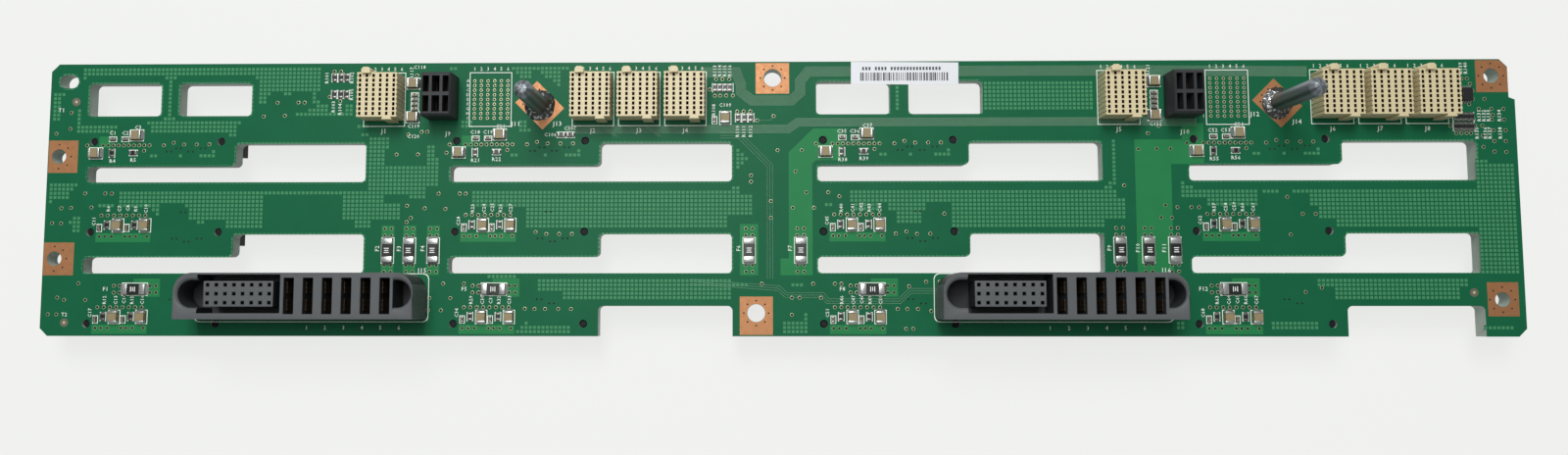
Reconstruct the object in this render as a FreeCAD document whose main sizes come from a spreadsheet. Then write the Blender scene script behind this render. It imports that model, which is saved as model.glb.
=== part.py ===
import FreeCAD, Part
import os
import Sketcher

# Drive backplane board: a circuit board with air openings, its moulded receptacles and supply
# connectors, two guide pins, the soldered small parts, and twelve drive connectors on the far side.
# The board lies flat with the component side up. X runs along the board, Y towards the edge with
# the signal receptacles, and Z = 0 is the mating face of the drive connectors. Millimetres.

# Driving sizes. Each becomes one named cell of the spreadsheet.
SIZES = {
    # drive bays: four columns of three drives
    "drive_pitch": 109.6,
    "row_pitch": 27.25,
    "peg_spacing": 38.6,
    # board outline, measured from the locating holes of the first and last drive
    "left_margin": 13.85,
    "right_margin": 55.8,
    "back_margin": 23.65,
    "front_margin": 3.65,
    "board_thickness": 4.8,
    "corner_cut": 2.3,
    "edge_step_width": 1.75,
    "edge_step_length": 11.4,
    "edge_step_slant": 0.7,
    # air openings beside each drive, L-shaped in the upper two rows
    "air_corner": 1.5,
    "air_start": 1.9,
    "air_step": 44.9,
    "air_web": 25.0,
    "slot_height": 5.2,
    "slot_drop": 12.55,
    "tall_drop": 0.5,
    "notch_rise": 5.25,
    # windows along the back edge
    "window_width": 22.4,
    "window_height": 10.35,
    "window_gap": 5.1,
    "window_inset": 5.8,
    "window_start": 2.2,
    # holes
    "locating_hole": 2.4,
    "screw_hole": 4.3,
    "wide_screw_hole": 5.3,
    "left_screw_inset": 3.4,
    "left_back_screw": 28.1,
    "left_front_screw": 22.95,
    "right_screw_inset": 6.6,
    "right_back_screw": 5.0,
    "right_front_screw": 10.75,
    "middle_back_screw": 4.9,
    "middle_back_shift": 0.45,
    "middle_front_screw": 6.8,
    "middle_front_shift": 5.4,
    "oblong_length": 6.2,
    "oblong_width": 4.5,
    "oblong_inset": 5.5,
    "oblong_drop": 5.3,
    # signal receptacles
    "signal_pitch": 2.0,
    "signal_row_pitch": 1.41,
    "signal_columns": 6,
    "signal_rows": 9,
    "signal_height": 7.0,
    "signal_side_wall": 0.95,
    "signal_end_wall": 1.0,
    "signal_inset": 10.9,
    "cavity_width": 0.75,
    "cavity_length": 1.0,
    "cavity_depth": 5.5,
    "groove_width": 0.6,
    "groove_depth": 0.3,
    "receptacle_gap": 1.95,
    "single_receptacle_edge": 15.95,
    "triple_receptacle_edge": 34.95,
    "key_width": 2.6,
    "key_reach": 1.35,
    "key_overlap": 0.45,
    "key_rise": 1.2,
    "key_cut": 0.6,
    "rib_width": 2.4,
    "rib_reach": 0.75,
    "rib_flare": 0.3,
    # power receptacles
    "power_width": 8.9,
    "power_length": 12.9,
    "power_height": 8.5,
    "power_shift": 4.05,
    "power_inset": 10.95,
    "power_cell_width": 1.8,
    "power_middle_cell": 2.3,
    "power_cell_length": 4.8,
    "power_cell_pitch": 2.9,
    "power_row_pitch": 5.9,
    "power_cell_depth": 7.0,
    "power_edge_cut": 0.6,
    # supply connectors
    "supply_width": 13.3,
    "supply_height": 13.3,
    "supply_shift": 7.9,
    "supply_rise": 1.35,
    "supply_corner": 5.3,
    "supply_depth": 9.2,
    "guide_radius": 3.9,
    "left_guide_centre": 5.1,
    "right_guide_centre": 4.65,
    "right_guide_reach": 1.05,
    "guide_bevel": 0.7,
    "guide_wall": 0.9,
    "island_start": 8.8,
    "island_margin": 1.14,
    "island_width": 7.27,
    "island_offset": 0.6,
    "channel_width": 1.9,
    "supply_pin_pitch": 2.54,
    "supply_pin_columns": 8,
    "supply_pin_hole": 0.95,
    "blade_pitch": 5.5,
    "blade_count": 6,
    "blade_wall": 1.04,
    "blade_slot_width": 2.9,
    "blade_slot_length": 10.3,
    "leaf_thickness": 0.4,
    "leaf_width": 3.6,
    "leaf_height": 8.3,
    "leaf_pitch": 5.0,
    # guide pins and their solder
    "guide_pin_shift": 24.9,
    "guide_pin_inset": 12.95,
    "guide_pin_diameter": 5.25,
    "guide_pin_length": 24.7,
    "guide_pin_point": 1.4,
    "guide_pin_tip": 1.3,
    "guide_pin_collar": 7.0,
    "guide_pin_collar_height": 0.9,
    "guide_pin_shank": 4.4,
    "shank_clearance": 0.15,
    "solder_diameter": 10.4,
    "solder_height": 0.7,
    # drive connectors on the far side
    "drive_length": 44.4,
    "drive_width": 7.0,
    "drive_height": 6.5,
    "drive_slot_length": 34.0,
    "drive_slot_width": 2.6,
    "drive_slot_depth": 5.2,
    "drive_key_length": 1.4,
    "drive_key_width": 4.6,
    "drive_corner_cut": 1.2,
    "peg_clearance": 0.15,
    "peg_recess": 0.5,
    # soldered small parts: length, width and height of each kind
    "fuse_length": 7.0,
    "fuse_width": 3.1,
    "fuse_height": 1.2,
    "large_chip_length": 3.3,
    "large_chip_width": 2.7,
    "large_chip_height": 1.5,
    "small_chip_length": 1.6,
    "small_chip_width": 0.85,
    "small_chip_height": 0.7,
    "resistor_length": 2.1,
    "resistor_width": 1.3,
    "resistor_height": 0.55,
    "driver_length": 3.9,
    "driver_width": 3.0,
    "driver_height": 1.2,
    "driver_foot_reach": 0.7,
    "driver_foot_width": 0.35,
    "driver_foot_pitch": 0.75,
    "driver_foot_height": 0.3,
    # label
    "label_length": 32.0,
    "label_width": 6.75,
    "label_thickness": 0.12,
}


class Size:
    """A number together with the spreadsheet formula that gives it."""

    def __init__(self, value, formula):
        self.value = value
        self.formula = formula

    def join(self, sign, other, value):
        return Size(value, f"({self.formula} {sign} {other.formula})")

    def __add__(self, other):
        other = as_size(other)
        return self.join("+", other, self.value + other.value)

    def __sub__(self, other):
        other = as_size(other)
        return self.join("-", other, self.value - other.value)

    def __mul__(self, other):
        other = as_size(other)
        return self.join("*", other, self.value * other.value)

    def __truediv__(self, other):
        other = as_size(other)
        return self.join("/", other, self.value / other.value)

    def __neg__(self):
        return as_size(0.0) - self

    __radd__ = __add__


def as_size(number):
    if isinstance(number, Size):
        return number
    return Size(float(number), f"({float(number)!r})")


def size(name):
    return Size(SIZES[name], "Sizes." + name)


def fill_sheet(doc):
    """Puts every driving size in its own named cell."""
    sheet = doc.addObject("Spreadsheet::Sheet", "Sizes")
    for row, (name, value) in enumerate(SIZES.items(), start=1):
        sheet.set(f"A{row}", name)
        sheet.set(f"B{row}", str(value))
        sheet.setAlias(f"B{row}", name)
    doc.recompute()


# Places shared by several pieces

def board_length():
    bays = size("drive_pitch") * 3 + size("peg_spacing")
    return size("left_margin") + bays + size("right_margin")


def board_width():
    return size("back_margin") + size("row_pitch") * 2 + size("front_margin")


def board_left():
    return -board_length() / 2


def board_right():
    return board_length() / 2


def board_back():
    return board_width() / 2


def board_front():
    return -board_width() / 2


def board_bottom():
    return size("drive_height")


def board_top():
    return size("drive_height") + size("board_thickness")


def column_x(column):
    """The left locating hole of a drive column, counted from 0."""
    return board_left() + size("left_margin") + size("drive_pitch") * column


def row_y(row):
    """The line of the locating holes of a drive row, counted from 0 at the back."""
    return board_back() - size("back_margin") - size("row_pitch") * row


# Sketch and feature helpers

def bind(thing, path, length):
    """Ties one property of a document object to its spreadsheet formula."""
    thing.setExpression(path, length.formula)


def place(thing, x, y, z):
    start = FreeCAD.Vector(as_size(x).value, as_size(y).value, as_size(z).value)
    thing.Placement = FreeCAD.Placement(start, FreeCAD.Rotation())
    bind(thing, "Placement.Base.x", as_size(x))
    bind(thing, "Placement.Base.y", as_size(y))
    bind(thing, "Placement.Base.z", as_size(z))


def origin_part(body, role):
    for feature in body.Origin.OriginFeatures:
        if feature.Role == role:
            return feature
    raise ValueError(role)


def new_body(doc, label):
    body = doc.addObject("PartDesign::Body", label)
    body.Label = label
    return body


def new_sketch(body, name, height=None, plane="XY_Plane"):
    """A sketch on one of the body's own planes, lifted to a height."""
    sketch = body.newObject("Sketcher::SketchObject", name)
    sketch.AttachmentSupport = [(origin_part(body, plane), "")]
    sketch.MapMode = "FlatFace"
    if height is not None:
        lifted = FreeCAD.Vector(0, 0, height.value)
        sketch.AttachmentOffset = FreeCAD.Placement(lifted, FreeCAD.Rotation())
        bind(sketch, "AttachmentOffset.Base.z", height)
    return sketch


def bind_point(sketch, line, end, x, y):
    """Holds one end of a line at two bound distances from the sketch origin."""
    for kind, distance in (("DistanceX", as_size(x)), ("DistanceY", as_size(y))):
        rule = Sketcher.Constraint(kind, -1, 1, line, end, distance.value)
        index = sketch.addConstraint(rule)
        bind(sketch, f"Constraints[{index}]", distance)


def draw_polygon(sketch, corners):
    """A closed outline through corners given as pairs of sizes."""
    points = [FreeCAD.Vector(as_size(x).value, as_size(y).value, 0) for x, y in corners]
    first = sketch.GeometryCount
    count = len(points)
    for index in range(count):
        end = points[(index + 1) % count]
        sketch.addGeometry(Part.LineSegment(points[index], end), False)
    for index in range(count):
        here = first + index
        after = first + (index + 1) % count
        sketch.addConstraint(Sketcher.Constraint("Coincident", here, 2, after, 1))
        bind_point(sketch, here, 1, *corners[index])


def draw_rectangle(sketch, left, right, front, back):
    draw_polygon(sketch, [(left, front), (right, front), (right, back), (left, back)])


def draw_centred(sketch, x, y, length, width):
    x = as_size(x)
    y = as_size(y)
    draw_rectangle(sketch, x - length / 2, x + length / 2, y - width / 2, y + width / 2)


def draw_circle(sketch, x, y, diameter):
    centre = FreeCAD.Vector(as_size(x).value, as_size(y).value, 0)
    upright = FreeCAD.Vector(0, 0, 1)
    circle = sketch.addGeometry(Part.Circle(centre, upright, diameter.value / 2), False)
    bind_point(sketch, circle, 3, x, y)
    index = sketch.addConstraint(Sketcher.Constraint("Diameter", circle, diameter.value))
    bind(sketch, f"Constraints[{index}]", diameter)


def draw_recess(sketch, flat_x, centre_x, centre_y, radius):
    """A D: a half circle about the centre, closed by straight sides at the flat."""
    side = 1 if centre_x.value > flat_x.value else -1
    back = centre_y + radius
    front = centre_y - radius
    tip = FreeCAD.Vector((centre_x + radius * side).value, centre_y.value, 0)
    flat_front = FreeCAD.Vector(flat_x.value, front.value, 0)
    flat_back = FreeCAD.Vector(flat_x.value, back.value, 0)
    arc_front = FreeCAD.Vector(centre_x.value, front.value, 0)
    arc_back = FreeCAD.Vector(centre_x.value, back.value, 0)
    front_id, arc_id, back_id, flat_id = sketch.addGeometry([
        Part.LineSegment(flat_front, arc_front), Part.Arc(arc_front, tip, arc_back),
        Part.LineSegment(arc_back, flat_back), Part.LineSegment(flat_back, flat_front)], False)
    arc_start = 1 if side > 0 else 2
    sketch.addConstraint(Sketcher.Constraint("Coincident", front_id, 2, arc_id, arc_start))
    sketch.addConstraint(Sketcher.Constraint("Coincident", arc_id, 3 - arc_start, back_id, 1))
    sketch.addConstraint(Sketcher.Constraint("Coincident", back_id, 2, flat_id, 1))
    sketch.addConstraint(Sketcher.Constraint("Coincident", flat_id, 2, front_id, 1))
    bind_point(sketch, front_id, 1, flat_x, front)
    bind_point(sketch, flat_id, 1, flat_x, back)
    bind_point(sketch, arc_id, 3, centre_x, centre_y)
    bind_point(sketch, front_id, 2, centre_x, front)
    rule = Sketcher.Constraint("DistanceX", -1, 1, back_id, 1, centre_x.value)
    bind(sketch, f"Constraints[{sketch.addConstraint(rule)}]", centre_x)


def pad(body, sketch, length, name="pad"):
    feature = body.newObject("PartDesign::Pad", name)
    feature.Profile = sketch
    feature.Length = length.value
    bind(feature, "Length", length)
    return feature


def pocket(body, sketch, depth, name="pocket", upwards=False):
    """Cuts down from the sketch, or up from it."""
    feature = body.newObject("PartDesign::Pocket", name)
    feature.Profile = sketch
    feature.Length = depth.value
    feature.Reversed = upwards
    bind(feature, "Length", depth)
    return feature


def repeat(body, feature, first, second=None, name="pattern"):
    """Repeats a feature along one or two axes, each given as (axis role, pitch, count, reversed)."""
    pattern = body.newObject("PartDesign::LinearPattern", name)
    pattern.Originals = [feature]
    axis, pitch, count, backwards = first
    pattern.Direction = (origin_part(body, axis), [""])
    pattern.Reversed = backwards
    bind(pattern, "Length", pitch * (count - 1))
    bind(pattern, "Occurrences", count)
    if second is not None:
        axis, pitch, count, backwards = second
        pattern.Direction2 = (origin_part(body, axis), [""])
        pattern.Reversed2 = backwards
        bind(pattern, "Length2", pitch * (count - 1))
        bind(pattern, "Occurrences2", count)
    body.Tip = pattern
    return pattern


def named_edges(feature, wanted):
    """The names of the edges of a feature that a test accepts."""
    edges = feature.Shape.Edges
    return [f"Edge{number}" for number, edge in enumerate(edges, start=1) if wanted(edge)]


def is_upright(edge):
    start = edge.Vertexes[0].Point
    end = edge.Vertexes[-1].Point
    flat_run = abs(start.x - end.x) + abs(start.y - end.y)
    return flat_run < 0.001 and abs(start.z - end.z) > 0.5


def fillet(body, feature, edges, radius, name):
    rounded = body.newObject("PartDesign::Fillet", name)
    rounded.Base = (feature, edges)
    rounded.Radius = radius.value
    bind(rounded, "Radius", radius)
    return rounded


def chamfer(body, feature, edges, width, name):
    cut = body.newObject("PartDesign::Chamfer", name)
    cut.Base = (feature, edges)
    cut.Size = width.value
    bind(cut, "Size", width)
    return cut


def new_box(doc, name, sizes, centre_x, centre_y, bottom):
    """A Part box of three bound sizes, centred over a place and standing at a height."""
    length, width, height = sizes
    box = doc.addObject("Part::Box", name)
    for path, value in (("Length", length), ("Width", width), ("Height", height)):
        bind(box, path, value)
    place(box, as_size(centre_x) - length / 2, as_size(centre_y) - width / 2, bottom)
    return box


def new_group(doc, label, solids):
    group = doc.addObject("Part::Compound", label)
    group.Label = label
    group.Links = solids
    return group


# Circuit board

def board_outline(body):
    left = board_left()
    right = board_right()
    back = board_back()
    front = board_front()
    cut = size("corner_cut")
    inner = right - size("edge_step_width")
    step = back - size("edge_step_length")
    sketch = new_sketch(body, "board_outline")
    draw_polygon(sketch, [
        (left + cut, front), (right - cut, front), (right, front + cut),
        (right, step - size("edge_step_slant")), (inner, step), (inner, back - cut),
        (inner - cut, back), (left + cut, back), (left, back - cut), (left, front + cut),
    ])
    return sketch


def air_openings(doc, body):
    """The L-shaped openings: a low slot that widens into a tall stretch beside the connector."""
    left = column_x(0) - size("air_start")
    step = column_x(0) + size("air_step") - size("air_start")
    right = left + size("drive_pitch") - size("air_web")
    front = row_y(0) - size("slot_drop")
    slot_back = front + size("slot_height")
    tall_back = row_y(0) - size("tall_drop")
    sketch = new_sketch(body, "air_opening", size("board_thickness"))
    draw_polygon(sketch, [
        (left, front), (right, front), (right, tall_back),
        (step, tall_back), (step, slot_back), (left, slot_back),
    ])
    opening = pocket(body, sketch, size("board_thickness"), "air_opening_cut")
    doc.recompute()
    columns = ("X_Axis", size("drive_pitch"), as_size(4), False)
    rows = ("Y_Axis", size("row_pitch"), as_size(2), True)
    repeat(body, opening, columns, rows, "air_opening_pattern")
    # The third row has room only for the tall stretch, which runs out through the front edge.
    notch_left = column_x(1) + size("air_step") - size("air_start")
    notch_right = column_x(1) - size("air_start") + size("drive_pitch") - size("air_web")
    notch = new_sketch(body, "front_notch", size("board_thickness"))
    draw_rectangle(notch, notch_left, notch_right,
                   board_front() - size("corner_cut"), row_y(2) + size("notch_rise"))
    cut = pocket(body, notch, size("board_thickness"), "front_notch_cut")
    doc.recompute()
    every_other = ("X_Axis", size("drive_pitch") * 2, as_size(2), False)
    repeat(body, cut, every_other, None, "front_notch_pattern")


def back_windows(doc, body):
    """A pair of windows over every other drive column."""
    left = column_x(0) - size("window_start")
    back = board_back() - size("window_inset")
    front = back - size("window_height")
    sketch = new_sketch(body, "back_window", size("board_thickness"))
    for index in range(2):
        start = left + (size("window_width") + size("window_gap")) * index
        draw_rectangle(sketch, start, start + size("window_width"), front, back)
    cut = pocket(body, sketch, size("board_thickness"), "back_window_cut")
    doc.recompute()
    every_other = ("X_Axis", size("drive_pitch") * 2, as_size(2), False)
    repeat(body, cut, every_other, None, "back_window_pattern")


def round_openings(doc, body):
    """Rounds every upright edge that lies inside the outline."""
    doc.recompute()
    inner = SIZES["corner_cut"] + SIZES["edge_step_width"]
    half_length = board_length().value / 2 - inner
    half_width = board_width().value / 2 - SIZES["corner_cut"] / 2

    def inside(edge):
        point = edge.Vertexes[0].Point
        return is_upright(edge) and abs(point.x) < half_length and abs(point.y) < half_width

    tip = body.Tip
    fillet(body, tip, named_edges(tip, inside), size("air_corner"), "opening_corners")
    doc.recompute()


def locating_holes(doc, body):
    """Two holes a drive, which take the pegs of the drive connectors."""
    sketch = new_sketch(body, "locating_holes", size("board_thickness"))
    for side in range(2):
        x = column_x(0) + size("peg_spacing") * side
        draw_circle(sketch, x, row_y(0), size("locating_hole"))
    cut = pocket(body, sketch, size("board_thickness"), "locating_hole_cut")
    doc.recompute()
    columns = ("X_Axis", size("drive_pitch"), as_size(4), False)
    rows = ("Y_Axis", size("row_pitch"), as_size(3), True)
    repeat(body, cut, columns, rows, "locating_hole_pattern")


def pin_place(number):
    """Where a guide pin stands, 0 on the left and 1 on the right."""
    return (column_x(1 + 2 * number) + size("guide_pin_shift"),
            board_back() - size("guide_pin_inset"))


def fixing_holes(doc, body):
    """Six screw holes, the two guide pin holes and the oblong hole in the corner."""
    left = board_left() + size("left_screw_inset")
    right = board_right() - size("right_screw_inset")
    back = board_back()
    front = board_front()
    sketch = new_sketch(body, "fixing_holes", size("board_thickness"))
    draw_circle(sketch, left, back - size("left_back_screw"), size("screw_hole"))
    draw_circle(sketch, left, front + size("left_front_screw"), size("screw_hole"))
    draw_circle(sketch, right, back - size("right_back_screw"), size("screw_hole"))
    draw_circle(sketch, right, front + size("right_front_screw"), size("screw_hole"))
    draw_circle(sketch, -size("middle_back_shift"), back - size("middle_back_screw"),
                size("wide_screw_hole"))
    draw_circle(sketch, -size("middle_front_shift"), front + size("middle_front_screw"),
                size("wide_screw_hole"))
    for number in range(2):
        x, y = pin_place(number)
        draw_circle(sketch, x, y, size("guide_pin_shank") + size("shank_clearance") * 2)
    pocket(body, sketch, size("board_thickness"), "fixing_hole_cut")
    oblong = new_sketch(body, "oblong_hole", size("board_thickness"))
    draw_centred(oblong, board_left() + size("oblong_inset"), back - size("oblong_drop"),
                 size("oblong_length"), size("oblong_width"))
    cut = pocket(body, oblong, size("board_thickness"), "oblong_hole_cut")
    doc.recompute()
    centre_x = (board_left() + size("oblong_inset")).value
    centre_y = (back - size("oblong_drop")).value
    reach = SIZES["oblong_length"] / 2 + 0.01

    def at_oblong(edge):
        point = edge.Vertexes[0].Point
        near = abs(point.x - centre_x) < reach and abs(point.y - centre_y) < reach
        return is_upright(edge) and near

    fillet(body, cut, named_edges(cut, at_oblong), size("oblong_width") * 0.499, "oblong_ends")


def circuit_board(doc):
    body = new_body(doc, "circuit_board")
    pad(body, board_outline(body), size("board_thickness"), "laminate")
    doc.recompute()
    air_openings(doc, body)
    back_windows(doc, body)
    round_openings(doc, body)
    locating_holes(doc, body)
    fixing_holes(doc, body)
    place(body, 0, 0, board_bottom())
    return body


# Signal receptacles

def signal_body_size():
    columns = size("signal_pitch") * (size("signal_columns") - 1)
    rows = size("signal_row_pitch") * (size("signal_rows") - 1)
    return columns + size("signal_side_wall") * 2, rows + size("signal_end_wall") * 2


def signal_block(doc, body):
    """The block with a flared rib on its front wall."""
    width, length = signal_body_size()
    height = size("signal_height")
    sketch = new_sketch(body, "block_outline")
    draw_centred(sketch, 0, 0, width, length)
    pad(body, sketch, height, "block")
    rib_x = size("signal_pitch") * (size("signal_columns") / 2 - 1.5)
    half = size("rib_width") / 2
    front = -length / 2
    rib = new_sketch(body, "rib_outline")
    draw_polygon(rib, [
        (rib_x - half, front), (rib_x - half - size("rib_flare"), front - size("rib_reach")),
        (rib_x + half + size("rib_flare"), front - size("rib_reach")), (rib_x + half, front),
    ])
    pad(body, rib, height, "front_rib")


def signal_key(doc, body):
    """The tall polarising key on the back wall, over the second column."""
    width, length = signal_body_size()
    key_x = -size("signal_pitch") * (size("signal_columns") / 2 - 1.5)
    half = size("key_width") / 2
    cut = size("key_cut")
    front = length / 2 - size("key_overlap")
    back = length / 2 + size("key_reach")
    sketch = new_sketch(body, "key_outline")
    draw_polygon(sketch, [
        (key_x - half, front), (key_x + half, front), (key_x + half, back - cut),
        (key_x + half - cut, back), (key_x - half + cut, back), (key_x - half, back - cut),
    ])
    pad(body, sketch, size("signal_height") + size("key_rise"), "back_key")


def signal_cavities(doc, body):
    """One contact cavity, repeated over all columns and rows."""
    half_columns = (size("signal_columns") - 1) / 2
    half_rows = (size("signal_rows") - 1) / 2
    first_x = -(size("signal_pitch") * half_columns)
    first_y = -(size("signal_row_pitch") * half_rows)
    sketch = new_sketch(body, "cavity_outline", size("signal_height"))
    draw_centred(sketch, first_x, first_y, size("cavity_width"), size("cavity_length"))
    cut = pocket(body, sketch, size("cavity_depth"), "cavity")
    doc.recompute()
    columns = ("X_Axis", size("signal_pitch"), size("signal_columns"), False)
    rows = ("Y_Axis", size("signal_row_pitch"), size("signal_rows"), False)
    repeat(body, cut, columns, rows, "cavity_grid")


def signal_grooves(doc, body):
    """Upright V grooves down both side walls, one a row."""
    width, length = signal_body_size()
    half_rows = (size("signal_rows") - 1) / 2
    first_y = -(size("signal_row_pitch") * half_rows)
    sketch = new_sketch(body, "groove_outline", size("signal_height"))
    for side in (-1, 1):
        wall = width / 2 * side
        inner = wall - size("groove_depth") * side
        mouth = wall + size("groove_depth") * side
        half = size("groove_width")
        draw_polygon(sketch, [(mouth, first_y - half), (mouth, first_y + half),
                              (inner, first_y)])
    cut = pocket(body, sketch, size("signal_height"), "groove")
    doc.recompute()
    rows = ("Y_Axis", size("signal_row_pitch"), size("signal_rows"), False)
    repeat(body, cut, rows, None, "groove_row")


def signal_receptacle(doc, number, x):
    body = new_body(doc, f"signal_receptacle_{number}")
    signal_block(doc, body)
    signal_key(doc, body)
    signal_grooves(doc, body)
    signal_cavities(doc, body)
    place(body, x, board_back() - size("signal_inset"), board_top())
    return body


def signal_receptacles(doc):
    """One alone and three side by side in each half of the board, from the column's first hole."""
    width, length = signal_body_size()
    step = width + size("receptacle_gap")
    shifts = [-size("single_receptacle_edge") - width / 2]
    shifts += [size("triple_receptacle_edge") + width / 2 + step * index for index in range(3)]
    places = [(column, shift) for column in (1, 3) for shift in shifts]
    return [signal_receptacle(doc, number, column_x(column) + shift)
            for number, (column, shift) in enumerate(places, start=1)]


def triple_end():
    """The right side of the third receptacle of a group, from the column's first hole."""
    width, length = signal_body_size()
    return size("triple_receptacle_edge") + width * 3 + size("receptacle_gap") * 2


# Power receptacles

def power_receptacle(doc, number):
    body = new_body(doc, f"power_receptacle_{number}")
    outline = new_sketch(body, "block_outline")
    draw_centred(outline, 0, 0, size("power_width"), size("power_length"))
    block = pad(body, outline, size("power_height"), "block")
    doc.recompute()
    top = SIZES["power_height"]

    def is_rim(edge):
        return all(abs(vertex.Point.z - top) < 0.001 for vertex in edge.Vertexes)

    chamfer(body, block, named_edges(block, is_rim), size("power_edge_cut"), "rim_bevels")
    cells = new_sketch(body, "cell_outlines", size("power_height"))
    widths = (size("power_cell_width"), size("power_middle_cell"), size("power_cell_width"))
    for column, width in enumerate(widths):
        for row in (-0.5, 0.5):
            x = size("power_cell_pitch") * (column - 1)
            draw_centred(cells, x, size("power_row_pitch") * row, width, size("power_cell_length"))
    pocket(body, cells, size("power_cell_depth"), "cells")
    place(body, column_x(2 * number - 1) - size("power_shift"),
          board_back() - size("power_inset"), board_top())
    return body


# Supply connectors

def blade_start():
    """The middle of the first blade slot, from the left end: past the island and its channel."""
    pins = size("supply_pin_pitch") * (size("supply_pin_columns") - 1)
    island_end = size("island_start") + size("island_margin") * 2 + pins
    return island_end + size("channel_width") + size("blade_wall") + size("blade_slot_width") / 2


def supply_length():
    """The housing ends one guide past the last blade slot."""
    last_slot = blade_start() + size("blade_pitch") * (size("blade_count") - 1)
    flat = last_slot + size("blade_slot_width") / 2 + size("guide_wall")
    return flat + size("right_guide_reach") + size("right_guide_centre")


def supply_centre(number):
    x = column_x(2 * number - 1) - size("supply_shift") - supply_length() / 2
    y = row_y(2) + size("supply_rise") + size("supply_width") / 2
    return x, y


def blade_x(index):
    """The middle of a blade slot, from the middle of the housing."""
    return blade_start() + size("blade_pitch") * index - supply_length() / 2


def supply_housing(doc, body):
    """The housing, with its two back corners well rounded."""
    outline = new_sketch(body, "housing_outline")
    draw_centred(outline, 0, 0, supply_length(), size("supply_width"))
    housing = pad(body, outline, size("supply_height"), "housing")
    doc.recompute()
    back = named_edges(housing, lambda edge: is_upright(edge) and edge.Vertexes[0].Point.y > 0)
    fillet(body, housing, back, size("supply_corner"), "back_corners")
    doc.recompute()


def island_span():
    left = size("island_start") - supply_length() / 2
    pins = size("supply_pin_pitch") * (size("supply_pin_columns") - 1)
    return left, left + pins + size("island_margin") * 2


def guide_recesses(doc, body):
    """A D-shaped guide recess at each end, with a bevelled mouth."""
    half = supply_length() / 2
    middle = size("island_offset")
    left, right = island_span()
    last_slot = blade_x(size("blade_count") - 1) + size("blade_slot_width") / 2
    right_flat = last_slot + size("guide_wall")
    sketch = new_sketch(body, "guide_outlines", size("supply_height"))
    draw_recess(sketch, left - size("channel_width"), size("left_guide_centre") - half,
                middle, size("guide_radius"))
    draw_recess(sketch, right_flat, half - size("right_guide_centre"),
                middle, size("guide_radius"))
    cut = pocket(body, sketch, size("supply_depth"), "guides")
    doc.recompute()
    top = SIZES["supply_height"]

    def is_mouth_arc(edge):
        return edge.Curve.TypeId == "Part::GeomCircle" and abs(
            edge.Vertexes[0].Point.z - top) < 0.001 and abs(
            edge.Curve.Radius - SIZES["guide_radius"]) < 0.001

    chamfer(body, cut, named_edges(cut, is_mouth_arc), size("guide_bevel"), "guide_mouths")
    doc.recompute()


def signal_island(doc, body):
    """A moat round the island that holds the 24 signal holes."""
    left, right = island_span()
    middle = size("island_offset")
    moat = size("channel_width")
    half = size("island_width") / 2
    sketch = new_sketch(body, "moat_outline", size("supply_height"))
    draw_rectangle(sketch, left - moat, right + moat, middle - half - moat, middle + half + moat)
    draw_rectangle(sketch, left, right, middle - half, middle + half)
    pocket(body, sketch, size("supply_depth"), "moat")
    hole = new_sketch(body, "pin_hole_outline", size("supply_height"))
    pitch = size("supply_pin_pitch")
    draw_centred(hole, left + size("island_margin"), middle - pitch,
                 size("supply_pin_hole"), size("supply_pin_hole"))
    cut = pocket(body, hole, size("supply_depth") * 0.75, "pin_hole")
    doc.recompute()
    columns = ("X_Axis", pitch, size("supply_pin_columns"), False)
    rows = ("Y_Axis", pitch, as_size(3), False)
    repeat(body, cut, columns, rows, "pin_hole_grid")


def blade_slots(doc, body):
    sketch = new_sketch(body, "blade_slot_outline", size("supply_height"))
    draw_centred(sketch, blade_x(as_size(0)), 0, size("blade_slot_width"),
                 size("blade_slot_length"))
    cut = pocket(body, sketch, size("supply_depth"), "blade_slot")
    doc.recompute()
    row = ("X_Axis", size("blade_pitch"), size("blade_count"), False)
    repeat(body, cut, row, None, "blade_slot_row")


def supply_connector(doc, number):
    body = new_body(doc, f"supply_connector_{number}")
    supply_housing(doc, body)
    guide_recesses(doc, body)
    signal_island(doc, body)
    blade_slots(doc, body)
    x, y = supply_centre(number)
    place(body, x, y, board_top())
    return body


def supply_contacts(doc, number):
    """Four gold leaves a slot: a facing pair in each half, standing on the slot floor."""
    x, y = supply_centre(number)
    floor = board_top() + size("supply_height") - size("supply_depth")
    reach = size("blade_slot_width") / 2 - size("leaf_thickness") / 2
    leaf = (size("leaf_thickness"), size("leaf_width"), size("leaf_height"))
    leaves = []
    for index in range(SIZES["blade_count"]):
        for side in (-1, 1):
            for half in (-0.5, 0.5):
                name = f"leaf_{number}_{len(leaves) + 1}"
                leaf_x = x + blade_x(as_size(index)) + reach * side
                leaf_y = y + size("leaf_pitch") * half
                leaves.append(new_box(doc, name, leaf, leaf_x, leaf_y, floor))
    return new_group(doc, f"supply_contacts_{number}", leaves)


# Guide pins

def guide_pin(doc, number):
    """A turned pin: shank through the board, collar on it, tall shaft and blunt point."""
    body = new_body(doc, f"guide_pin_{number}")
    shank = size("guide_pin_shank") / 2
    collar = size("guide_pin_collar") / 2
    shaft = size("guide_pin_diameter") / 2
    length = size("guide_pin_length")
    shoulder = size("guide_pin_collar_height")
    sketch = new_sketch(body, "pin_profile", plane="XZ_Plane")
    draw_polygon(sketch, [
        (0, -size("board_thickness")), (shank, -size("board_thickness")), (shank, 0),
        (collar, 0), (collar, shoulder), (shaft, shoulder),
        (shaft, length - size("guide_pin_point")), (size("guide_pin_tip"), length), (0, length),
    ])
    turned = body.newObject("PartDesign::Revolution", "turned_pin")
    turned.Profile = sketch
    turned.ReferenceAxis = (sketch, ["V_Axis"])
    turned.Angle = 360
    x, y = pin_place(number - 1)
    place(body, x, y, board_top())
    return body


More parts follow.
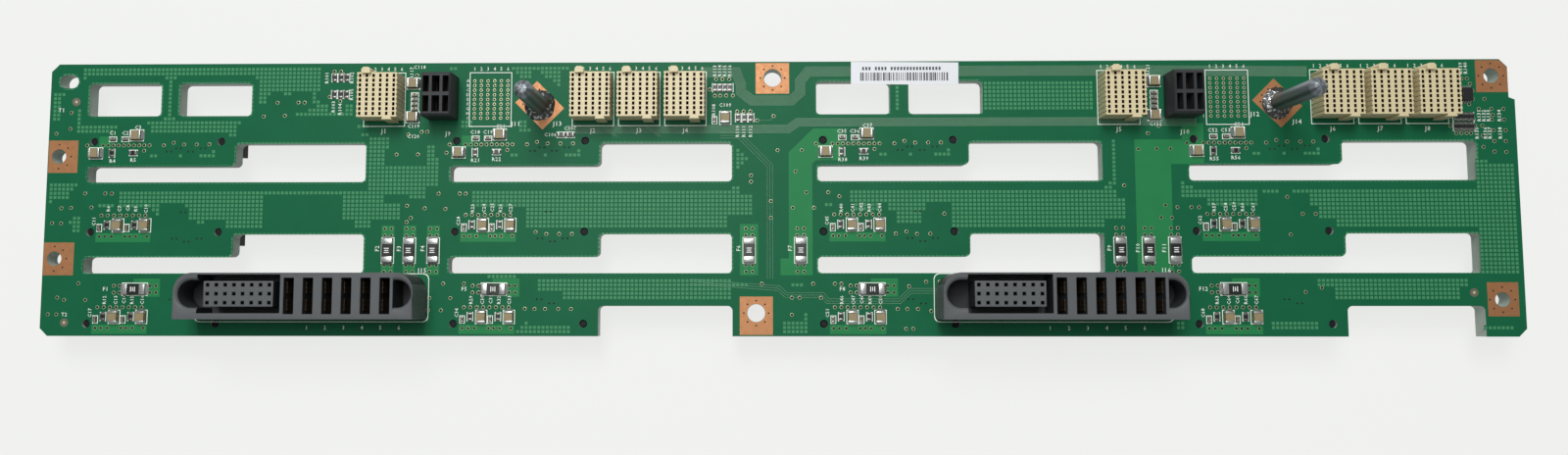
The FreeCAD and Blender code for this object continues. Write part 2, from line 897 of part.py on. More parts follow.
def pin_solder(doc, number):
    """A low cone of solder round the collar of a guide pin."""
    x, y = pin_place(number - 1)
    cone = doc.addObject("Part::Cone", f"solder_cone_{number}")
    bind(cone, "Radius1", size("solder_diameter") / 2)
    bind(cone, "Radius2", size("guide_pin_collar") / 2 + size("solder_height") / 2)
    bind(cone, "Height", size("solder_height"))
    place(cone, x, y, board_top())
    bore = doc.addObject("Part::Cylinder", f"solder_bore_{number}")
    bind(bore, "Radius", size("guide_pin_collar") / 2)
    bind(bore, "Height", size("solder_height"))
    place(bore, x, y, board_top())
    ring = doc.addObject("Part::Cut", f"pin_solder_{number}")
    ring.Label = f"pin_solder_{number}"
    ring.Base = cone
    ring.Tool = bore
    return ring


# Drive connectors on the far side

def drive_connector(doc, number, column, row):
    """A housing with an L-shaped tongue slot in its face and two eight-sided pegs behind."""
    body = new_body(doc, f"drive_connector_{number}")
    half_length = size("drive_length") / 2
    half_width = size("drive_width") / 2
    cut = size("drive_corner_cut")
    outline = new_sketch(body, "housing_outline")
    draw_polygon(outline, [
        (-half_length, -half_width), (half_length, -half_width),
        (half_length, half_width - cut), (half_length - cut, half_width),
        (-half_length + cut, half_width), (-half_length, half_width - cut),
    ])
    pad(body, outline, size("drive_height"), "housing")
    pegs = new_sketch(body, "peg_outlines", size("drive_height"))
    radius = size("locating_hole") / 2 - size("peg_clearance")
    wide = radius * 0.92
    narrow = radius * 0.38
    for side in (-0.5, 0.5):
        x = size("peg_spacing") * side
        draw_polygon(pegs, [
            (x - wide, -narrow), (x - narrow, -wide), (x + narrow, -wide), (x + wide, -narrow),
            (x + wide, narrow), (x + narrow, wide), (x - narrow, wide), (x - wide, narrow)])
    pad(body, pegs, size("board_thickness") - size("peg_recess"), "pegs")
    slot = new_sketch(body, "slot_outline")
    left = -size("drive_slot_length") / 2
    right = size("drive_slot_length") / 2
    front = -size("drive_slot_width") / 2
    back = size("drive_slot_width") / 2
    key_back = front + size("drive_key_width")
    draw_polygon(slot, [
        (left, front), (right, front), (right, back), (left + size("drive_key_length"), back),
        (left + size("drive_key_length"), key_back), (left, key_back),
    ])
    pocket(body, slot, size("drive_slot_depth"), "tongue_slot", upwards=True)
    place(body, column_x(column) + size("peg_spacing") / 2, row_y(row), 0)
    return body


def drive_connectors(doc):
    places = [(column, row) for row in range(3) for column in range(4)]
    return [drive_connector(doc, number, column, row)
            for number, (column, row) in enumerate(places, start=1)]


# Soldered small parts. Places are distances from a column's first locating hole and a row's line.

def chip_sizes(kind, turned):
    length, width, height = (size(f"{kind}_{way}") for way in ("length", "width", "height"))
    return (width, length, height) if turned else (length, width, height)


def chips(doc, label, kind, places):
    """A group of equal chips; a place is (column, row, x, y, turned a quarter)."""
    solids = []
    for column, row, x, y, turned in places:
        name = f"{label}_{len(solids) + 1}"
        solids.append(new_box(doc, name, chip_sizes(kind, turned), column_x(column) + x,
                              row_y(row) + y, board_top()))
    return new_group(doc, label, solids)


def chip_fuses(doc):
    upright = ((1, -19.9), (1, -13.4), (1, -6.3), (2, -22.0), (2, -6.75),
               (3, -22.5), (3, -14.2), (3, -6.5))
    places = [(column, 1, x, -5.6, True) for column, x in upright]
    flat = ((0, 14.25), (1, 12.0), (2, 14.25), (3, 10.2))
    places += [(column, 2, x, 10.2, False) for column, x in flat]
    return chips(doc, "chip_fuses", "fuse", places)


def large_capacitors(doc):
    places = []
    for column in range(4):
        places += [(column, 0, 0.75, -3.5, False), (column, 0, 13.0, 1.9, False)]
        places += [(column, row, x, 2.0, True) for row in (1, 2) for x in (8.4, 16.6)]
    for column, x in ((1, -13.3), (3, -11.4)):
        places += [(column, 0, x, 17.4, False), (column, 0, x, 7.2, False)]
    places.append((1, 0, triple_end() + 5.95, 6.75, True))
    return chips(doc, "large_capacitors", "large_chip", places)


def small_capacitors(doc):
    places = []
    for column in range(4):
        places += [(column, 0, 5.75, 0.75, False), (column, 0, 9.5, 0.75, False)]
        places += [(column, row, x, 1.25, True) for row in (1, 2) for x in (2.75, 11.05)]
    for column, x in ((1, -12.8), (3, -11.4)):
        places += [(column, 0, x, y, False) for y in (9.6, 11.1, 12.5, 13.9)]
    places.append((1, 0, triple_end() + 2.75, 6.05, True))
    return chips(doc, "small_capacitors", "small_chip", places)


def chip_resistors(doc):
    places = []
    for column in range(4):
        places += [(column, 0, 5.6, -3.5, True), (column, 0, 12.1, -3.4, False)]
        places += [(column, row, x, 2.1, True) for row in (1, 2) for x in (5.05, 13.35)]
    places += [(0, 0, x, y, True) for x in (72.4, 74.3, 76.1) for y in (14.15, 19.25)]
    places += [(1, 0, x, 1.75, False) for x in (31.45, 34.2)]
    places += [(1, 0, triple_end() + x, 6.75, True) for x in (9.8, 11.75, 13.65)]
    places += [(1, 0, triple_end() + x, 15.85, True) for x in (2.95, 4.45, 5.95, 7.45)]
    places += [(3, 0, triple_end() + x, y, True) for x in (2.35, 3.85, 5.35, 6.85)
               for y in (3.5, 6.4)]
    return chips(doc, "chip_resistors", "resistor", places)


def driver_chip(doc):
    """A small eight-lead package near the right end of the board."""
    x = column_x(3) + triple_end() + 5.6
    y = row_y(0) + 13.0
    body_sizes = (size("driver_width"), size("driver_length"), size("driver_height"))
    foot_sizes = (size("driver_foot_width"), size("driver_length") + size("driver_foot_reach") * 2,
                  size("driver_foot_height"))
    solids = [new_box(doc, "driver_package", body_sizes, x, y, board_top())]
    for index in range(4):
        foot_x = x + size("driver_foot_pitch") * (index - 1.5)
        solids.append(new_box(doc, f"driver_feet_{index + 1}", foot_sizes, foot_x, y, board_top()))
    chip = doc.addObject("Part::MultiFuse", "driver_chip")
    chip.Label = "driver_chip"
    chip.Shapes = solids
    return chip


def id_label(doc):
    """The paper label at the back edge, a little askew."""
    label = doc.addObject("Part::Box", "id_label")
    label.Label = "id_label"
    bind(label, "Length", size("label_length"))
    bind(label, "Width", size("label_width"))
    bind(label, "Height", size("label_thickness"))
    tilt = FreeCAD.Rotation(FreeCAD.Vector(0, 0, 1), -0.6)
    label.Placement = FreeCAD.Placement(FreeCAD.Vector(), tilt)
    bind(label, "Placement.Base.x", column_x(2) + 8.4)
    bind(label, "Placement.Base.y", board_back() - size("label_width") - 0.1)
    bind(label, "Placement.Base.z", board_top())
    return label


def check(doc):
    """Stops the build if any object of the document is faulty."""
    for thing in doc.Objects:
        if "Invalid" in thing.State or "Error" in thing.State:
            raise RuntimeError(f"{thing.Name}: {thing.State}")
        shape = getattr(thing, "Shape", None)
        if thing.isDerivedFrom("Part::Feature") and (shape.isNull() or not shape.isValid()):
            raise RuntimeError(f"{thing.Name}: faulty shape")


def main():
    os.makedirs("parts", exist_ok=True)
    doc = FreeCAD.newDocument("drive_backplane_board")
    fill_sheet(doc)
    parts = [circuit_board(doc)]
    parts += signal_receptacles(doc)
    for number in (1, 2):
        parts += [power_receptacle(doc, number), supply_connector(doc, number)]
        parts += [supply_contacts(doc, number), guide_pin(doc, number), pin_solder(doc, number)]
    parts += drive_connectors(doc)
    parts += [chip_fuses(doc), large_capacitors(doc), small_capacitors(doc), chip_resistors(doc)]
    parts += [driver_chip(doc), id_label(doc)]
    doc.recompute()
    check(doc)
    for part in parts:
        part.Shape.exportStep(f"parts/{part.Label}.step")


main()
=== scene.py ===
import math
import random

import bpy
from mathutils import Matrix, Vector


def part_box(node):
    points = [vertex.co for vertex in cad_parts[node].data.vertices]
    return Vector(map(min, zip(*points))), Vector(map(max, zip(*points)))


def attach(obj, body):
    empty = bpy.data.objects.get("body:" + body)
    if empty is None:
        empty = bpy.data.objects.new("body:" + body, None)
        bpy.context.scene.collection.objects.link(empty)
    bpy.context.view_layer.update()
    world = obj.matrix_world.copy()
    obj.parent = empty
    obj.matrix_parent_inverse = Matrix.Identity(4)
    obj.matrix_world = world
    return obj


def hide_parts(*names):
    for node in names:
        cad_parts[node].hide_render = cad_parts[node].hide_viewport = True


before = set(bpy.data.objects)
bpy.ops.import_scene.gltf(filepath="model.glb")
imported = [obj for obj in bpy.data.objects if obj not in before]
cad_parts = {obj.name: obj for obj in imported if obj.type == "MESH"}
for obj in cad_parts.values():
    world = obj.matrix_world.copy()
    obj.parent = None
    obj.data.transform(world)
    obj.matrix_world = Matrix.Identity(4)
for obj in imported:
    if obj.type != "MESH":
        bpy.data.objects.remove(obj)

bl_info = {
    "name": "Drive backplane board",
    "version": (1, 0, 0),
    "blender": (4, 5, 0),
    "location": "View3D > Sidebar > Backplane",
    "description": "Builds the finish and the fine pieces of a drive backplane board",
    "category": "Object",
}

MM = 0.001

# Two corners nearer than this, in metres, are one corner.
MERGE_DISTANCE = 0.000002

# Sizes of the board and its connectors, in millimetres. The board's faces come from the frame.
BOARD_LOW, BOARD_HIGH = (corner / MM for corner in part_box("circuit_board"))
TOP = BOARD_HIGH.z
UNDER = BOARD_LOW.z
PEG_SPACING = 38.6
SIGNAL_HEIGHT = 7.0
SIGNAL_PITCH = 2.0
SIGNAL_ROW_PITCH = 1.41
SIGNAL_COLUMNS = 6
SIGNAL_ROWS = 9
BLADE_PITCH = 5.5
FIRST_BLADE = 33.25
# The first holes of the two empty press-fit grids, and the line of their first row.
EMPTY_GRIDS = (-89.9, 129.4)
GRID_BACK = 35.4
# A printed or plated shape starts this far below the board's face, so that none shows a gap.
SUNK = 0.01
# Overlapping shapes of one kind take turns on levels this far apart.
LAYER_STEP = 0.0008
LAYERS = 9


def middle(low, high):
    return (low + high) / 2


def node_middle(name):
    low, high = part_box(name)
    return middle(low, high) / MM


def column_x(column):
    """The left locating hole of a drive column, counted from 0."""
    return node_middle(f"drive_connector_{column + 1}").x - PEG_SPACING / 2


def row_y(row):
    """The line of locating holes of a drive row, counted from 0 at the back edge."""
    return node_middle(f"drive_connector_{4 * row + 1}").y


COLUMNS = [column_x(column) for column in range(4)]
ROWS = [row_y(row) for row in range(3)]


def linear(code):
    """Linear RGBA of an sRGB hex colour."""
    channels = [int(code[start:start + 2], 16) / 255 for start in (1, 3, 5)]
    return tuple(value / 12.92 if value <= 0.04045 else ((value + 0.055) / 1.055) ** 2.4
                 for value in channels) + (1.0,)


def colour_prop(name, description, code):
    return bpy.props.FloatVectorProperty(name=name, description=description, subtype="COLOR",
                                         size=4, min=0, max=1, default=linear(code))


def length_prop(name, description, millimetres):
    return bpy.props.FloatProperty(name=name, description=description, unit="LENGTH",
                                   subtype="DISTANCE", precision=5, default=millimetres * MM)


class BackplaneSizes(bpy.types.PropertyGroup):
    """Sizes of the fine pieces."""

    copper_height: length_prop("Copper height", "Rise of copper under the mask", 0.02)
    land_height: length_prop("Land height", "Rise of a bare copper land", 0.035)
    ink_height: length_prop("Ink height", "Rise of the printed legend", 0.05)
    ink_line: length_prop("Ink line", "Width of a printed line", 0.2)
    via_radius: length_prop("Via radius", "Middle of the plated ring of a via", 0.46)
    via_wall: length_prop("Via wall", "Half the width of the plated ring", 0.075)
    square_pitch: length_prop("Square pitch", "Pitch of the copper filling squares", 1.25)
    edge_radius: length_prop("Edge radius", "Rounding of moulded edges", 0.07)
    solder_radius: length_prop("Solder radius", "Reach of the solder round a guide pin", 4.7)


class BackplaneColours(bpy.types.PropertyGroup):
    """Colours of the finishes."""

    mask: colour_prop("Mask", "Solder mask on bare laminate", "#155E3E")
    mask_copper: colour_prop("Mask on copper", "Solder mask on copper", "#287A49")
    mask_squares: colour_prop("Mask on squares", "Solder mask on filling squares", "#46885F")
    mask_trace: colour_prop("Mask on traces", "Solder mask on fine traces", "#6F957C")
    laminate: colour_prop("Laminate", "Routed wall of the board", "#A6B2A9")
    copper: colour_prop("Copper", "Bare copper lands", "#B07C54")
    gold: colour_prop("Gold", "Plated rings and contacts", "#C3C79F")
    ink: colour_prop("Ink", "Printed legend", "#EDF2EA")
    # Dark enough to paint the shade of the slots the blades stand in.
    brass: colour_prop("Brass", "Blade contacts", "#463A2A")
    # Dark enough to stand also for the shade deep in the signal cavities, and painted as shade on the
    # mouths' inner walls.
    bronze: colour_prop("Bronze", "Spring contacts", "#3A2A18")
    # The bright of the solder's painted glints.
    solder: colour_prop("Solder", "Solder round the guide pins", "#E2E5E4")
    dull_tin: colour_prop("Dull tin", "Ends of the small chips", "#868982")
    small_ceramic: colour_prop("Small ceramic", "Body of the small capacitors", "#6B6352")
    tarnish: colour_prop("Tarnish", "Fiducial marks", "#6C6859")
    tin: colour_prop("Tin", "Tinned ends and solder", "#BCBFBC")
    capacitor: colour_prop("Capacitor", "Ceramic body", "#897B59")
    resistor: colour_prop("Resistor", "Resistor film and chip mouldings", "#1C1D1F")
    beige: colour_prop("Beige", "Signal receptacles", "#CFC29B")
    # The dark grey also paints the shade inside the supply connectors' hollows.
    grey: colour_prop("Dark grey", "Power receptacles", "#2D2F31")
    black: colour_prop("Black", "Supply connectors", "#56595B")
    jet: colour_prop("Jet", "Drive connectors of the far side", "#17191B")
    steel: colour_prop("Steel", "Guide pins", "#7A8085")
    paper: colour_prop("Paper", "Label", "#D9DCE0")
    floor: colour_prop("Floor", "Bench under the board", "#F1F2F0")


# Materials

# The gloss of a cured solder mask, the same wherever it lies.
MASK_GLOSS = {"IOR": 1.5, "Specular_IOR_Level": 0.1}
# The share of a filling square's pitch that is copper.
SQUARE_SHARE = 0.7
# The share of the bench's whiteness that the lamps don't give.
GLOW_SHARE = 0.88
# How far below the board's faces the green of the mask still reaches, in metres.
MASK_REACH = 0.00002


def add_node(tree, kind, links=None, **settings):
    """Adds a shader node, sets its properties, and fills its sockets with values or links.

    A link comes from a socket, or from a node, which then gives its first output."""
    node = tree.nodes.new(kind)
    for name, value in settings.items():
        setattr(node, name, value)
    for socket, source in (links or {}).items():
        if isinstance(source, bpy.types.Node):
            source = source.outputs[0]
        if isinstance(source, bpy.types.NodeSocket):
            tree.links.new(source, node.inputs[socket])
        else:
            node.inputs[socket].default_value = source
    return node


def new_material(name, **sockets):
    """A Principled material with constants on its sockets."""
    made = bpy.data.materials.new(name)
    made.use_nodes = True
    shader = made.node_tree.nodes["Principled BSDF"]
    for socket, value in sockets.items():
        shader.inputs[socket.replace("_", " ")].default_value = value
    return made, made.node_tree, shader


def shade(colour, factor):
    """A lighter or darker version of a colour."""
    return tuple(min(1.0, channel * factor) for channel in colour[:3]) + (1.0,)


def patches(tree, grain, detail=2.0):
    """Soft uneven patches all through an object, of a size in millimetres."""
    place = add_node(tree, "ShaderNodeTexCoord").outputs["Object"]
    return add_node(tree, "ShaderNodeTexNoise", {
        "Vector": place, "Scale": 1 / (grain * MM), "Detail": detail})


def drift(tree, colour, grain, low, high):
    """A colour that drifts between a darker and a lighter version of itself, over patches."""
    mixed = add_node(tree, "ShaderNodeMix", {
        0: patches(tree, grain), 6: shade(colour, low), 7: shade(colour, high)}, data_type="RGBA")
    return mixed.outputs[2]


def mottle(tree, shader, colour, grain, spread):
    """Lets the colour of a surface drift a little either way."""
    tint = drift(tree, colour, grain, 1 - spread, 1 + spread)
    tree.links.new(tint, shader.inputs["Base Color"])


def roughen(tree, shader, grain, low, high):
    """Lets the roughness of a surface vary between two values."""
    ramp = add_node(tree, "ShaderNodeMapRange", {
        "Value": patches(tree, grain), "From Min": 0.3, "From Max": 0.7,
        "To Min": low, "To Max": high})
    tree.links.new(ramp.outputs[0], shader.inputs["Roughness"])


def grained(tree, shader, grain, depth):
    """Gives a surface a soft relief of patches, with a size and a depth in millimetres."""
    relief = add_node(tree, "ShaderNodeBump", {
        "Height": patches(tree, grain), "Distance": depth * MM, "Strength": 1.0})
    tree.links.new(relief.outputs[0], shader.inputs["Normal"])


def plain_finish(name, colour, grain, spread, **sockets):
    """A material with nothing but a drifting colour and constants."""
    made, tree, shader = new_material(name, **sockets)
    mottle(tree, shader, colour, grain, spread)
    return made


def solder_mask(colours):
    # Glass-fibre laminate under a sprayed green mask: satin gloss outside, grey routed walls
    # with the faint lines of the glass layers.
    made, tree, shader = new_material("solder_mask_on_laminate", Roughness=0.42, **MASK_GLOSS)
    place = add_node(tree, "ShaderNodeTexCoord").outputs["Object"]
    height = add_node(tree, "ShaderNodeSeparateXYZ", {0: place}).outputs["Z"]
    above = add_node(tree, "ShaderNodeMath", {0: height, 1: (TOP + UNDER) / 2 * MM},
                     operation="SUBTRACT")
    away = add_node(tree, "ShaderNodeMath", {0: above}, operation="ABSOLUTE")
    outside = add_node(tree, "ShaderNodeMath", {0: away, 1: (TOP - UNDER) / 2 * MM - MASK_REACH},
                       operation="GREATER_THAN")
    layers = add_node(tree, "ShaderNodeTexWave", {
        "Vector": place, "Scale": 1 / (1.6 * MM), "Distortion": 0.6},
        wave_type="BANDS", bands_direction="Z").outputs["Fac"]
    wall = add_node(tree, "ShaderNodeMix", {
        0: layers, 6: shade(colours.laminate, 0.86), 7: shade(colours.laminate, 1.1)},
        data_type="RGBA").outputs[2]
    green = drift(tree, colours.mask, 9.0, 0.9, 1.1)
    skin = add_node(tree, "ShaderNodeMix", {0: outside, 6: wall, 7: green}, data_type="RGBA")
    tree.links.new(skin.outputs[2], shader.inputs["Base Color"])
    grained(tree, shader, 0.35, 0.004)
    return made


def mask_on_copper(colours):
    # The same mask over a copper pour: a lighter, yellower green, a little smoother.
    return plain_finish("solder_mask_on_copper", colours.mask_copper, 6.0, 0.07,
                        Roughness=0.4, **MASK_GLOSS)


def mask_on_squares(colours, sizes):
    # Filling squares of copper under the mask, on a fixed pitch, with plain mask between.
    made, tree, shader = new_material("solder_mask_on_squares", Roughness=0.4, **MASK_GLOSS)
    place = add_node(tree, "ShaderNodeTexCoord").outputs["Object"]
    axes = add_node(tree, "ShaderNodeSeparateXYZ", {0: place}).outputs
    inside = []
    for axis in ("X", "Y"):
        cell = add_node(tree, "ShaderNodeMath", {0: axes[axis], 1: sizes.square_pitch},
                        operation="DIVIDE")
        across = add_node(tree, "ShaderNodeMath", {0: cell}, operation="FRACT")
        inside.append(add_node(tree, "ShaderNodeMath", {0: across, 1: SQUARE_SHARE},
                               operation="LESS_THAN"))
    square = add_node(tree, "ShaderNodeMath", {0: inside[0], 1: inside[1]}, operation="MULTIPLY")
    tint = drift(tree, colours.mask_squares, 2.0, 0.85, 1.12)
    cover = add_node(tree, "ShaderNodeMix", {0: square, 6: colours.mask, 7: tint},
                     data_type="RGBA")
    tree.links.new(cover.outputs[2], shader.inputs["Base Color"])
    relief = add_node(tree, "ShaderNodeBump", {
        "Height": square, "Distance": 0.02 * MM, "Strength": 0.6})
    tree.links.new(relief.outputs[0], shader.inputs["Normal"])
    return made


def mask_on_traces(colours):
    # Fine traces under the mask catch the light along their shoulders.
    return plain_finish("solder_mask_on_traces", colours.mask_trace, 1.5, 0.1,
                        Roughness=0.4, **MASK_GLOSS)


def bare_copper(colours):
    # Bare copper with a protective coating: salmon, dull, with faint brushing and stains.
    made, tree, shader = new_material("coated_copper", Metallic=0.65, Roughness=0.5)
    mottle(tree, shader, colours.copper, 2.5, 0.08)
    roughen(tree, shader, 1.2, 0.44, 0.58)
    return made


def plated_gold(colours):
    # Thin gold on copper: warm, pale, slightly dull.
    return plain_finish("plated_gold", colours.gold, 0.8, 0.1, Metallic=0.4, Roughness=0.4)


def dull_brass_in_painted_shade(colours):
    # Blade contacts of a brass alloy, dulled by handling, and coloured a dark brown that paints the
    # shade of their slots.
    return plain_finish("dull_brass_in_painted_shade", colours.brass, 0.9, 0.15, Metallic=0.7, Roughness=0.45)


def spring_bronze(colours):
    # Spring bronze contacts, deep in their cavities: brown, dull from forming, and dark with painted
    # shade.
    # The same dark brown paints the shade on the inner walls of the cavity mouths.
    return plain_finish("spring_bronze", colours.bronze, 0.6, 0.15,
                        Metallic=0.2, Roughness=0.6, Specular_IOR_Level=0.2)


def solder_with_painted_glints(colours):
    # Hand-run solder that set in waves: the waves are a relief, and the grey is painted dark between
    # them, with painted glints of bright reflection along their ridges.
    made, tree, shader = new_material("solder_with_painted_glints", Metallic=0.95, Roughness=0.3)
    waves = patches(tree, 0.9, 3.0)
    painted_glint = add_node(tree, "ShaderNodeMapRange", {
        "Value": waves, "From Min": 0.54, "From Max": 0.66})
    # Painted reflection: nearly black off the ridges, the solder's bright colour on them.
    tone = add_node(tree, "ShaderNodeMix", {
        0: painted_glint, 6: shade(colours.solder, 0.14), 7: colours.solder}, data_type="RGBA")
    tree.links.new(tone.outputs[2], shader.inputs["Base Color"])
    relief = add_node(tree, "ShaderNodeBump", {
        "Height": waves, "Distance": 0.3 * MM, "Strength": 1.0})
    tree.links.new(relief.outputs[0], shader.inputs["Normal"])
    return made


def tarnished_copper(colours):
    # Thinly plated copper, browned by heat: a dull grey brown.
    return plain_finish("tarnished_copper", colours.tarnish, 0.5, 0.12,
                        Metallic=0.3, Roughness=0.55)


def tinned_metal(name, colour):
    # Tin solder: uneven, with a fine frosted grain, drawn coarser than it is so that it shows.
    made, tree, shader = new_material(name, Metallic=0.9, Roughness=0.3)
    mottle(tree, shader, colour, 0.5, 0.12)
    roughen(tree, shader, 0.3, 0.2, 0.45)
    grained(tree, shader, 0.4, 0.03)
    return made


def printed_ink(colours):
    # Screen-printed white epoxy ink: matt, thin, slightly uneven in cover.
    return plain_finish("printed_ink", colours.ink, 0.5, 0.1, Roughness=0.65, IOR=1.5)


def hole_shadow():
    # The open barrel of a plated hole, too deep for light to come back.
    return plain_finish("hole_shadow", linear("#10221B"), 0.5, 0.2, Roughness=0.9)


def fired_ceramic(name, colour):
    # Capacitor ceramic: matt tan, as fired, and greyer in the small sizes.
    made, tree, shader = new_material(name, Roughness=0.6, IOR=1.6)
    mottle(tree, shader, colour, 0.6, 0.08)
    grained(tree, shader, 0.1, 0.01)
    return made


def black_film(colours):
    # Glassy black overglaze of chip resistors and the black moulding compound of chips.
    return plain_finish("black_overglaze", colours.resistor, 0.5, 0.15, Roughness=0.3, IOR=1.5)


def moulded_plastic(name, colour, grain_depth, low, high, sheen=0.5):
    # Injection-moulded glass-filled plastic: satin, with a fine grain and faint flow marks.
    made, tree, shader = new_material(name, Roughness=low, IOR=1.55, Specular_IOR_Level=sheen)
    mottle(tree, shader, colour, 1.8, 0.05)
    roughen(tree, shader, 0.6, low, high)
    grained(tree, shader, 0.15, grain_depth)
    return made


def turned_steel_with_painted_streaks(colours):
    # Turned and ground steel, with painted highlights: bright and dark streaks of painted reflection
    # that run down the shaft and fan out over the tip, as the light on a turned cone shows them. They
    # follow the turn round the nearer pin.
    made, tree, shader = new_material("turned_steel_with_painted_streaks", Metallic=0.85, Roughness=0.5)
    coordinates = add_node(tree, "ShaderNodeTexCoord").outputs["Object"]
    place = add_node(tree, "ShaderNodeSeparateXYZ", {0: coordinates}).outputs
    right = add_node(tree, "ShaderNodeMath", {0: place["X"], 1: 0.0}, operation="GREATER_THAN")
    centre = add_node(tree, "ShaderNodeMath", {
        0: right, 1: (PINS[1].x - PINS[0].x) * MM, 2: PINS[0].x * MM}, operation="MULTIPLY_ADD")
    along = add_node(tree, "ShaderNodeMath", {0: place["X"], 1: centre}, operation="SUBTRACT")
    across = add_node(tree, "ShaderNodeMath", {0: place["Y"], 1: PINS[0].y * MM},
                      operation="SUBTRACT")
    turn = add_node(tree, "ShaderNodeMath", {0: across, 1: along}, operation="ARCTAN2")
    waves = []
    for count in (3.0, 8.0):
        turns = add_node(tree, "ShaderNodeMath", {0: turn, 1: count}, operation="MULTIPLY")
        waves.append(add_node(tree, "ShaderNodeMath", {0: turns}, operation="SINE"))
    both = add_node(tree, "ShaderNodeMath", {0: waves[0], 1: waves[1]}, operation="ADD")
    painted_streak = add_node(tree, "ShaderNodeMath", {0: both, 1: 0.25}, operation="MULTIPLY")
    share = add_node(tree, "ShaderNodeMath", {0: painted_streak, 1: 0.5}, operation="ADD")
    # The streaks lighten and darken the steel's colour: painted highlights and painted shade.
    tone = add_node(tree, "ShaderNodeMix", {
        0: share, 6: shade(colours.steel, 0.5), 7: shade(colours.steel, 1.6)}, data_type="RGBA")
    tree.links.new(tone.outputs[2], shader.inputs["Base Color"])
    grained(tree, shader, 0.5, 0.004)
    return made


def label_paper(colours):
    # Coated label paper: smooth, faintly blue white.
    made, tree, shader = new_material("label_paper", Roughness=0.45, IOR=1.5)
    mottle(tree, shader, colours.paper, 4.0, 0.02)
    grained(tree, shader, 0.3, 0.006)
    return made


def label_ink():
    # Thermal-transfer print: dull dark grey.
    return plain_finish("label_print", linear("#4A4B50"), 0.4, 0.15, Roughness=0.7)


def bench_paper(colours):
    # The bench: plain pale paper that shows white to the camera and keeps its shadows.
    made, tree, shader = new_material("bench_paper", Roughness=0.8)
    mottle(tree, shader, colours.floor, 12.0, 0.015)
    path = add_node(tree, "ShaderNodeLightPath").outputs
    seen = add_node(tree, "ShaderNodeMath", {0: path["Is Camera Ray"], 1: path["Is Glossy Ray"]},
                    operation="MAXIMUM")
    seen = add_node(tree, "ShaderNodeMath", {0: seen, 1: path["Is Transmission Ray"]},
                    operation="MAXIMUM")
    share = add_node(tree, "ShaderNodeMath", {0: seen, 1: GLOW_SHARE}, operation="MULTIPLY")
    glow = add_node(tree, "ShaderNodeEmission", {"Color": colours.floor, "Strength": 1.0})
    mixed = add_node(tree, "ShaderNodeMixShader", {0: share, 1: shader, 2: glow})
    tree.links.new(mixed.outputs[0], tree.nodes["Material Output"].inputs["Surface"])
    return made


MATERIALS = {}


def make_materials():
    colours = bpy.context.scene.backplane_colours
    sizes = bpy.context.scene.backplane_sizes
    MATERIALS.update(
        mask=solder_mask(colours), pour=mask_on_copper(colours),
        squares=mask_on_squares(colours, sizes), trace=mask_on_traces(colours),
        copper=bare_copper(colours), gold=plated_gold(colours),
        tin=tinned_metal("tinned_metal", colours.tin),
        dull_tin=tinned_metal("dull_tinned_metal", colours.dull_tin),
        tarnish=tarnished_copper(colours),
        brass=dull_brass_in_painted_shade(colours), bronze=spring_bronze(colours), solder=solder_with_painted_glints(colours),
        ink=printed_ink(colours), shadow=hole_shadow(),
        ceramic=fired_ceramic("fired_ceramic", colours.capacitor),
        small_ceramic=fired_ceramic("fine_fired_ceramic", colours.small_ceramic),
        film=black_film(colours), paper=label_paper(colours), print=label_ink(),
        beige=moulded_plastic("beige_polymer", colours.beige, 0.008, 0.42, 0.55),
        grey=moulded_plastic("dark_grey_polymer", colours.grey, 0.01, 0.45, 0.6, 0.25),
        black=moulded_plastic("black_polymer", colours.black, 0.012, 0.42, 0.58, 0.25),
        jet=moulded_plastic("jet_polymer", colours.jet, 0.01, 0.5, 0.65, 0.15),
        steel=turned_steel_with_painted_streaks(colours), floor=bench_paper(colours))


# Modelling helpers

def deselect():
    bpy.ops.object.select_all(action="DESELECT")


def select_only(things):
    deselect()
    for thing in things:
        thing.select_set(True)
    bpy.context.view_layer.objects.active = things[0]


def settle(thing):
    """Moves the place, turn and scale of an object into its mesh."""
    select_only([thing])
    bpy.ops.object.transform_apply(location=True, rotation=True, scale=True)


def paint(thing, *names):
    """Gives a piece its materials, the first on all faces until others are chosen."""
    thing.data.materials.clear()
    for name in names:
        thing.data.materials.append(MATERIALS[name])
    return thing


def finish_piece(thing, name, slot, *materials, stands_for=()):
    """Names a finished piece, paints it and lets it ride on the board."""
    settle(thing)
    thing.name = name
    thing.data.name = name
    if materials:
        paint(thing, *materials)
    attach(thing, "root")
    if stands_for:
        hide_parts(*stands_for)
    return thing


def joined(things):
    select_only(things)
    if len(things) > 1:
        bpy.ops.object.join()
    return bpy.context.view_layer.objects.active


def copies(master, places):
    """Copies of a master, each with its own mesh, joined into one; a place is (x, y, z, turn)."""
    made = []
    for x, y, z, turn in places:
        twin = master.copy()
        twin.data = master.data.copy()
        bpy.context.collection.objects.link(twin)
        twin.location = (x * MM, y * MM, z * MM)
        twin.rotation_euler = (0, 0, turn)
        made.append(twin)
    bpy.data.objects.remove(master)
    return joined(made)


def add_block(length, width, height, x=0.0, y=0.0, z=0.0):
    """A block of three sizes that stands on height z, ready for edit mode work."""
    deselect()
    bpy.ops.mesh.primitive_cube_add(size=1, location=(x * MM, y * MM, (z + height / 2) * MM),
                                    scale=(length * MM, width * MM, height * MM))
    block = bpy.context.object
    settle(block)
    return block


